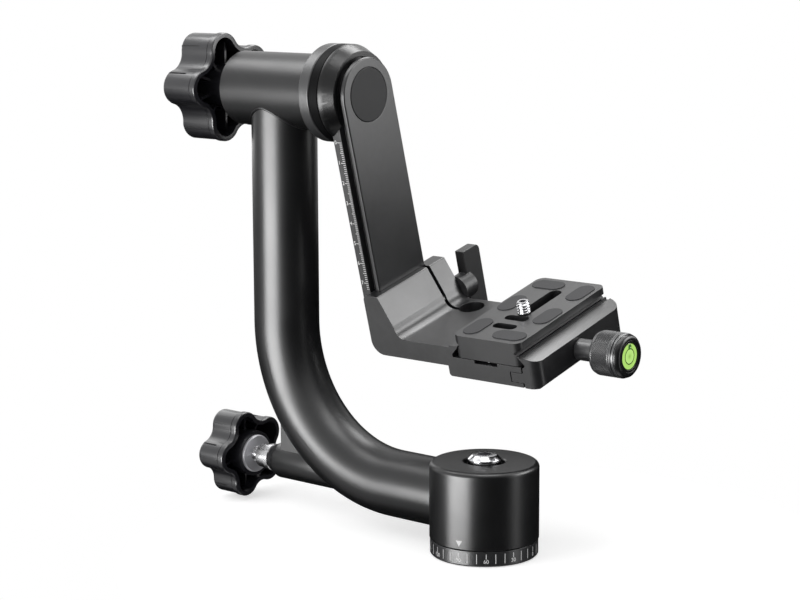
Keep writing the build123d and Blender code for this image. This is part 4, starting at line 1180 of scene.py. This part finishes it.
class GIMBAL_OT_spirit_level(PieceOperator):
    """Round spirit level in the end of the clamp knob"""

    bl_idname = "gimbal.spirit_level"
    bl_label = "Spirit level"

    def make(self, s):
        low, high = cradle_box("level_vial")
        middle = (low + high) / 2
        radius = (high.z - low.z) / 2
        place = CRADLE @ Matrix.Translation((0, middle.y, middle.z))
        black = finish("level_cup_black", s.colours.coat / 2, 0.3, mottle=0.04, bump=0.05)
        rounded("level_cup", black, 0.1 * MM)
        dome = 0.25 * MM
        profile = [(low.x, 0), (low.x, radius), (high.x - dome, radius)]
        steps = 6
        for i in range(1, steps + 1):
            turn = pi / 2 * i / steps
            profile.append((high.x - dome + dome * sin(turn), radius - 0.9 * MM * (1 - cos(turn))))
        profile.append((high.x, 0))
        vial = lathe(profile, place, 72)
        add_piece("level_fluid_painted_light", vial, "jaw_knob", ["level_vial"], [self.fluid(s, middle)])
        ring_radius, ring_width = 3.25 * MM, 0.42 * MM
        face = high.x
        ring = lathe(
            [
                (face - 0.05 * MM, ring_radius),
                (face + PRINT, ring_radius),
                (face + PRINT, ring_radius + ring_width),
                (face - 0.05 * MM, ring_radius + ring_width),
            ],
            place, 72, closed=True,
        )
        add_piece("level_ring", ring, "jaw_knob", materials=[black])
        self.bubble(s, middle, face)

    def fluid(self, s, middle):
        """Lime fluid with painted light: painted shade at its very middle, painted highlights paling it
        inside the ring and near the rim with a deeper band between, nearly black at its very rim, and a
        faint painted glow.
        """
        material, wires, shader = new_material("level_fluid_painted_light")
        place = wires.add("ShaderNodeTexCoord").outputs["Object"]
        spot = CRADLE @ Vector((0, middle.y, middle.z))
        offset = wires.add("ShaderNodeVectorMath", {0: place, 1: spot}, operation="SUBTRACT").outputs[0]
        flat = wires.add("ShaderNodeVectorMath", {0: offset, 1: (0, 1, 1)}, operation="MULTIPLY").outputs[0]
        reach = wires.add("ShaderNodeVectorMath", {0: flat}, operation="LENGTH").outputs["Value"]
        share = wires.math("DIVIDE", reach, 6.2 * MM)
        shade_and_highlight_ramp = wires.add("ShaderNodeValToRGB", {"Fac": share})
        base = Vector(s.colours.fluid)
        # Painted light along the radius: the darker middle is painted shade of the domed glass, the paler
        # bands are painted highlights, and the colour turns nearly black at the very rim.
        shade_and_highlight_stops = [
            (0.0, 0.7, 0.0),
            (0.22, 1.0, 0.06),
            (0.5, 1.05, 0.1),
            (0.62, 1.0, 0.0),
            (0.9, 1.05, 0.04),
            (0.96, 0.1, 0.0),
        ]
        elements = shade_and_highlight_ramp.color_ramp.elements
        while len(elements) < len(shade_and_highlight_stops):
            elements.new(0.5)
        for element, (at, gain, painted_highlight) in zip(elements, shade_and_highlight_stops):
            element.position = at
            element.color = (*[min(1, c * gain + painted_highlight) for c in base], 1)
        wires.feed(shader.inputs["Base Color"], shade_and_highlight_ramp.outputs["Color"])
        grain = wires.add("ShaderNodeTexNoise", {"Vector": place, "Scale": 900.0}).outputs["Fac"]
        wires.feed(shader.inputs["Roughness"], wires.math("ADD", 0.06, wires.math("MULTIPLY", grain, 0.06)))
        # Painted glow: the fluid gives off a little light in its own colour, though it is no lamp.
        wires.feed(shader.inputs["Emission Color"], shade_and_highlight_ramp.outputs["Color"])
        wires.feed(shader.inputs["Emission Strength"], 0.2)
        wires.feed(shader.inputs["Coat Weight"], 0.6)
        return material

    def bubble(self, s, middle, face):
        """The air bubble, which floats to the top of the upright vial: a dark green lens of painted shade,
        with a small offset pale lens on it as a painted highlight.
        """
        rise = 4.35 * MM
        size = 1.25 * MM
        up = TO_CRADLE.to_3x3() @ Vector((0, 0, 1))
        spot = Matrix.Translation((0, middle.y + rise * up.y, middle.z + rise * up.z))
        steps = 6
        lens = [(face - 0.1 * MM, 0)]
        lens.append((face - 0.1 * MM, size))
        for i in range(1, steps):
            turn = pi / 2 * i / steps
            lens.append((face - 0.02 * MM + 0.2 * MM * sin(turn), size * cos(turn)))
        lens.append((face + 0.18 * MM, 0))
        # Painted light: the dark lens paints the shade round the bubble's outline, and the pale one paints
        # its highlight.
        dark = finish("bubble_painted_shade", (0.06, 0.22, 0.03), 0.12, mottle=0.03, bump=0.02, gloss=0.5)
        painted_highlight = finish("bubble_painted_highlight", (0.75, 0.92, 0.62), 0.1, mottle=0.03, bump=0.02, gloss=0.5)
        mesh = lathe(lens, CRADLE @ spot, 36)
        inner = [(along + 0.02 * MM, radius * 0.5) for along, radius in lens]
        shine = lathe(inner, CRADLE @ spot @ Matrix.Translation((0, 0.15 * MM, -0.3 * MM)), 36)
        add_piece("level_bubble", mesh, "jaw_knob", materials=[dark])
        add_piece("level_bubble_shine", shine, "jaw_knob", materials=[painted_highlight])


class GIMBAL_OT_quick_plate(PieceOperator):
    """Quick plate with its rubber pads and stop screws"""

    bl_idname = "gimbal.quick_plate"
    bl_label = "Quick plate"

    def make(self, s):
        rounded("quick_plate", anodised(), 0.32 * MM)
        rounded("plate_pads", rubber(), 0.12 * MM)
        dress(chrome(), "plate_stop_screws")
        dress(steel(), "screw_clip")


class GIMBAL_OT_camera_screw(PieceOperator):
    """Quarter inch camera screw with its real thread"""

    bl_idname = "gimbal.camera_screw"
    bl_label = "Camera screw"

    def make(self, s):
        plate_top = cradle_box("quick_plate")[1].z
        low, high = cradle_box("camera_screw")
        crest = 3.175 * MM
        root = crest - s.metal.camera_depth
        axis = Vector(((low.x + high.x) / 2, (low.y + high.y) / 2))
        mesh = welded_copy("camera_screw")
        for vertex in mesh.vertices:
            spot = TO_CRADLE @ vertex.co
            out = Vector((spot.x, spot.y)) - axis
            if spot.z > plate_top - WELD and out.length > root:
                out *= root / out.length
                vertex.co = CRADLE @ Vector((axis.x + out.x, axis.y + out.y, spot.z))
        thread = from_tree(
            sleeve_tree("camera_thread", [("Pitch", FLOAT, 0.001)], thread_relief),
            {
                "Columns": 48,
                "Steps": 60,
                "Length": high.z - plate_top - 0.2 * MM,
                "Outer": crest,
                "Inner": root - 0.15 * MM,
                "Depth": s.metal.camera_depth,
                "Pitch": s.metal.camera_pitch,
                "Material": chrome(),
            },
        )
        place = CRADLE @ Matrix.Translation((axis.x, axis.y, plate_top)) @ UPRIGHT
        ridge = cleaned(thread, place, 32)
        ridge.materials.clear()
        mesh.materials.clear()
        whole = join(mesh, ridge)
        finish_here = [bright_steel()]
        add_piece(
            "camera_screw_threaded", whole, "camera_bolt", ["camera_screw"], finish_here
        )


class GIMBAL_OT_inner_works(PieceOperator):
    """Bearings, spindles, screws and seals inside the head and under its base"""

    bl_idname = "gimbal.inner_works"
    bl_label = "Inner works"

    def make(self, s):
        self.cap_screw()
        dress(
            steel(),
            "tripod_bushing", "base_screws", "pan_inner_races", "pan_top_washer", "pan_outer_races",
            "pan_bearing_balls", "pan_spacer", "pan_retaining_clip", "tilt_outer_races",
            "tilt_bearing_balls", "tilt_spacer", "tilt_inner_races", "tilt_inner_sleeve",
            "tilt_spindle", "tilt_retaining_clip", "flange_screws", "swing_screw", "arm_stop_screw",
            "pan_lock_rod",
        )
        dress(anodised(), "pan_spindle")
        dress(bronze(), "pan_brake_sleeve", "pan_lock_pad", "tilt_lock_pad")
        dress(rubber(), "base_pad")

    def cap_screw(self):
        """The drum's large cap screw: a sloping, softly rounded head with a hexagon socket."""
        low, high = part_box("pan_top_screw")
        head = high.x
        washer_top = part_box("pan_top_washer")[1].z
        points = [v.co for v in frame["nodes"]["pan_top_screw"].data.vertices]
        shank = min(point.xy.length for point in points if point.z < low.z + WELD)
        slope, soft, flats, deep = 1.6 * MM, 0.5 * MM, 6.0 * MM, 3.6 * MM
        segments = 96
        shoulder = high.z - slope - soft
        profile = [(low.z, shank), (washer_top, shank), (washer_top, head), (shoulder, head)]
        for i in range(1, 5):
            turn = pi / 4 * i / 4
            profile.append((high.z - slope - soft * (1 - sin(turn)), head - soft * (1 - cos(turn))))
        for i in range(5):
            turn = pi / 4 + pi / 4 * i / 4
            out = head - slope - soft * (1 - cos(turn))
            profile.append((high.z - soft * (1 - sin(turn)), out))
        angles = [tau * i / segments for i in range(segments)]
        sector = pi / 3
        socket = [flats / 2 / cos(a % sector - sector / 2) for a in angles]
        bm = bmesh.new()
        rings = [[bm.verts.new((r * cos(a), r * sin(a), z)) for a in angles] for z, r in profile]
        for z in (high.z, high.z - deep):
            rings.append([bm.verts.new((r * cos(a), r * sin(a), z)) for a, r in zip(angles, socket)])
        for near, far in zip(rings, rings[1:]):
            for i in range(segments):
                j = (i + 1) % segments
                bm.faces.new([near[i], near[j], far[j], far[i]])
        bm.faces.new(rings[0])
        bm.faces.new(rings[-1])
        bmesh.ops.recalc_face_normals(bm, faces=bm.faces)
        mesh = to_mesh(bm, "cap", 32)
        add_piece("cap_screw", mesh, body_of("pan_top_screw"), ["pan_top_screw"], [chrome()])


class GIMBAL_OT_studio(PieceOperator):
    """Floor, lamps, white background and camera"""

    bl_idname = "gimbal.studio"
    bl_label = "Studio"

    camera_at = (0.55815, -0.71531, 0.27173)    # fitted to the photograph's outlines, in metres
    table = 0.165                               # radius of the table top

    def make(self, s):
        self.floor(s)
        self.room(s)
        self.lamps(s)
        self.flags()
        self.camera(s)
        bpy.context.scene.view_settings.view_transform = "Standard"

    def floor(self, s):
        """A pale round table top, white to the camera where nothing shades it."""
        radius = self.table
        mesh = lathe([(-0.004, 0), (-0.004, radius), (0, radius), (0, 0)], UPRIGHT, 96)
        mesh.transform(Matrix.Translation((0, 0, -0.0002)))
        material, wires, shader = new_material("floor")
        wires.feed(shader.inputs["Base Color"], (*s.colours.floor, 1))
        wires.feed(shader.inputs["Roughness"], 0.9)
        wires.feed(shader.inputs["Specular IOR Level"], 0.0)
        wires.feed(shader.inputs["Emission Color"], (1, 1, 1, 1))
        glow = wires.math("MULTIPLY", self.shown(wires), s.studio.glow)
        wires.feed(shader.inputs["Emission Strength"], glow)
        mesh.materials.append(material)
        floor = bpy.data.objects.new("floor", mesh)
        bpy.context.scene.collection.objects.link(floor)
        floor.visible_glossy = False

    def shown(self, wires):
        """1 for the rays that show the background: straight, mirrored and refracted."""
        rays = wires.add("ShaderNodeLightPath").outputs
        either = wires.math("MAXIMUM", rays["Is Camera Ray"], rays["Is Glossy Ray"])
        return wires.math("MAXIMUM", either, rays["Is Transmission Ray"])

    def room(self, s):
        """A white background, and an even, weaker light on matt surfaces."""
        world = bpy.data.worlds.new("room")
        bpy.context.scene.world = world
        world.use_nodes = True
        wires = Wires(world.node_tree)
        white = wires.math("MULTIPLY", self.shown(wires), 1.0 - s.studio.fill)
        background = world.node_tree.nodes["Background"]
        background.inputs["Color"].default_value = (1, 1, 1, 1)
        wires.feed(background.inputs["Strength"], wires.math("ADD", white, s.studio.fill))

    def lamps(self, s):
        """A soft lamp for matt surfaces, and the softboxes that glossy surfaces mirror."""
        self.lamp("matt_key", (-0.30, -0.48, 0.42), (-0.5, -0.8, 0.55), (0.55, 0.55), s.studio.soft, False)
        boxes = {
            "key": ((-0.33, -1.155, -0.13), (-0.42, -1.12, 0.0), (1.0, 0.62), 38.0),
            "low_left": ((-0.43, -0.31, -0.30), (-0.43, -0.31, -0.27), (0.40, 0.30), 0.2),
            "strip": ((0.43, 0.12, -0.03), (0.43, 0.12, 0.0), (0.10, 0.36), 0.24),
            "side": ((0.20, 0.25, 0.19), (0.20, 0.25, 0.0), (0.30, 0.10), 0.24),
            "left": ((-0.44, 0.07, 0.24), (-0.44, 0.07, 0.0), (0.25, 0.20), 0.3),
            "upper_left": ((-0.34, -0.07, 0.58), (-0.25, -0.07, 0.38), (0.26, 0.26), 1.2),
            "over": ((0.08, -0.06, 0.80), (0.05, -0.04, 0.75), (0.44, 0.36), 3.0),
            "rim": ((0.47, 0.43, 0.42), (0.67, 0.60, 0.33), (0.34, 0.34), 3.0),
            "top": ((-0.08, 0.43, 0.76), (-0.08, 0.43, 0.66), (0.60, 0.30), 5.0),
        }
        for name, (place, away, size, power) in boxes.items():
            self.lamp(name, place, away, size, power * s.studio.shine, True)

    def lamp(self, name, place, away, size, power, glossy):
        """A softbox whose back looks along a direction, seen by glossy or by matt surfaces."""
        light = bpy.data.lights.new(name, "AREA")
        light.shape = "RECTANGLE"
        light.size, light.size_y = size
        light.energy = power
        lamp = bpy.data.objects.new(name, light)
        bpy.context.scene.collection.objects.link(lamp)
        lamp.location = place
        lamp.rotation_mode = "QUATERNION"
        lamp.rotation_quaternion = (-Vector(away)).to_track_quat("-Z", "Y")
        lamp.visible_camera = False
        lamp.visible_glossy = glossy
        lamp.visible_diffuse = not glossy

    def flags(self):
        """Black cards outside the picture, and a black ground below the table, for mirrors alone."""
        cards = {
            "flag_front": (-76, 4, -0.25, 0.25),
            "flag_right": (28, 72, -0.25, 0.13),
            "flag_rear": (72, 112, -0.25, 0.40),
            "flag_back": (112, 150, 0.0, 0.12),
            "flag_left": (150, 180, -0.25, 0.01),
        }
        material, wires, shader = new_material("flag")
        wires.feed(shader.inputs["Base Color"], (0.004, 0.004, 0.004, 1))
        wires.feed(shader.inputs["Specular IOR Level"], 0.0)
        reach, thick = 0.25, 0.003
        for name, (start, end, low, high) in cards.items():
            bm = bmesh.new()
            steps = max(2, (end - start) // 6)
            turns = [radians(start + (end - start) * i / steps) for i in range(steps + 1)]
            outline = [(reach, turn) for turn in turns]
            outline += [(reach + thick, turn) for turn in reversed(turns)]
            face = bm.faces.new([bm.verts.new((r * cos(a), r * sin(a), low)) for r, a in outline])
            raised = bmesh.ops.extrude_face_region(bm, geom=[face])["geom"]
            tops = [item for item in raised if isinstance(item, bmesh.types.BMVert)]
            bmesh.ops.translate(bm, vec=(0, 0, high - low), verts=tops)
            bmesh.ops.recalc_face_normals(bm, faces=bm.faces)
            self.card(to_mesh(bm, name), material)
        low, hole, rim = -0.46, 0.21, 6.0
        high = low + thick
        rug = lathe([(low, hole), (low, rim), (high, rim), (high, hole)], UPRIGHT, 48, closed=True)
        rug.name = "flag_ground"
        self.card(rug, material)

    def card(self, mesh, material):
        """Puts a card in the scene that only mirrors show."""
        mesh.materials.append(material)
        card = bpy.data.objects.new(mesh.name, mesh)
        bpy.context.scene.collection.objects.link(card)
        card.visible_camera = False
        card.visible_diffuse = False
        card.visible_shadow = False

    def camera(self, s):
        """The photograph's view."""
        camera = bpy.data.cameras.new("camera")
        camera.sensor_width = 36
        camera.lens = s.studio.lens
        camera.shift_x = s.studio.shift
        camera.clip_start, camera.clip_end = 0.05, 20
        shown = bpy.data.objects.new("camera", camera)
        bpy.context.scene.collection.objects.link(shown)
        turn, rise = s.studio.azimuth, s.studio.elevation
        back = Vector((sin(turn) * cos(rise), -cos(turn) * cos(rise), sin(rise)))
        shown.location = self.camera_at
        shown.rotation_mode = "QUATERNION"
        shown.rotation_quaternion = (-back).to_track_quat("-Z", "Y")
        bpy.context.scene.camera = shown


PIECES = (
    GIMBAL_OT_castings,
    GIMBAL_OT_base_dial,
    GIMBAL_OT_arm_scale,
    GIMBAL_OT_tilt_collars,
    GIMBAL_OT_lock_knobs,
    GIMBAL_OT_platform,
    GIMBAL_OT_height_lever,
    GIMBAL_OT_clamp_knob,
    GIMBAL_OT_spirit_level,
    GIMBAL_OT_quick_plate,
    GIMBAL_OT_camera_screw,
    GIMBAL_OT_inner_works,
    GIMBAL_OT_studio,
)


class GIMBAL_PT_pieces(bpy.types.Panel):
    """The pieces and settings of the gimbal head."""

    bl_idname = "GIMBAL_PT_pieces"
    bl_label = "Gimbal Head"
    bl_space_type = "VIEW_3D"
    bl_region_type = "UI"
    bl_category = "Gimbal Head"

    def draw(self, context):
        layout = self.layout
        for operator in PIECES:
            layout.operator(operator.bl_idname)
        for group in ("colours", "marks", "metal", "studio"):
            part = getattr(context.scene.gimbal_head, group)
            box = layout.box()
            for name in part.__annotations__:
                box.prop(part, name)


CLASSES = (FinishColours, MarkSizes, MetalSizes, StudioSettings, HeadSettings, *PIECES, GIMBAL_PT_pieces)


def register():
    """Registers the classes and the scene's settings."""
    for item in CLASSES:
        bpy.utils.register_class(item)
    bpy.types.Scene.gimbal_head = PointerProperty(type=HeadSettings)


def unregister():
    """Takes the classes and the settings away again."""
    del bpy.types.Scene.gimbal_head
    for item in reversed(CLASSES):
        bpy.utils.unregister_class(item)


def main():
    """Makes every piece and the studio."""
    register()
    for operator in PIECES:
        group, name = operator.bl_idname.split(".")
        getattr(getattr(bpy.ops, group), name)()


if __name__ == "__main__":
    main()
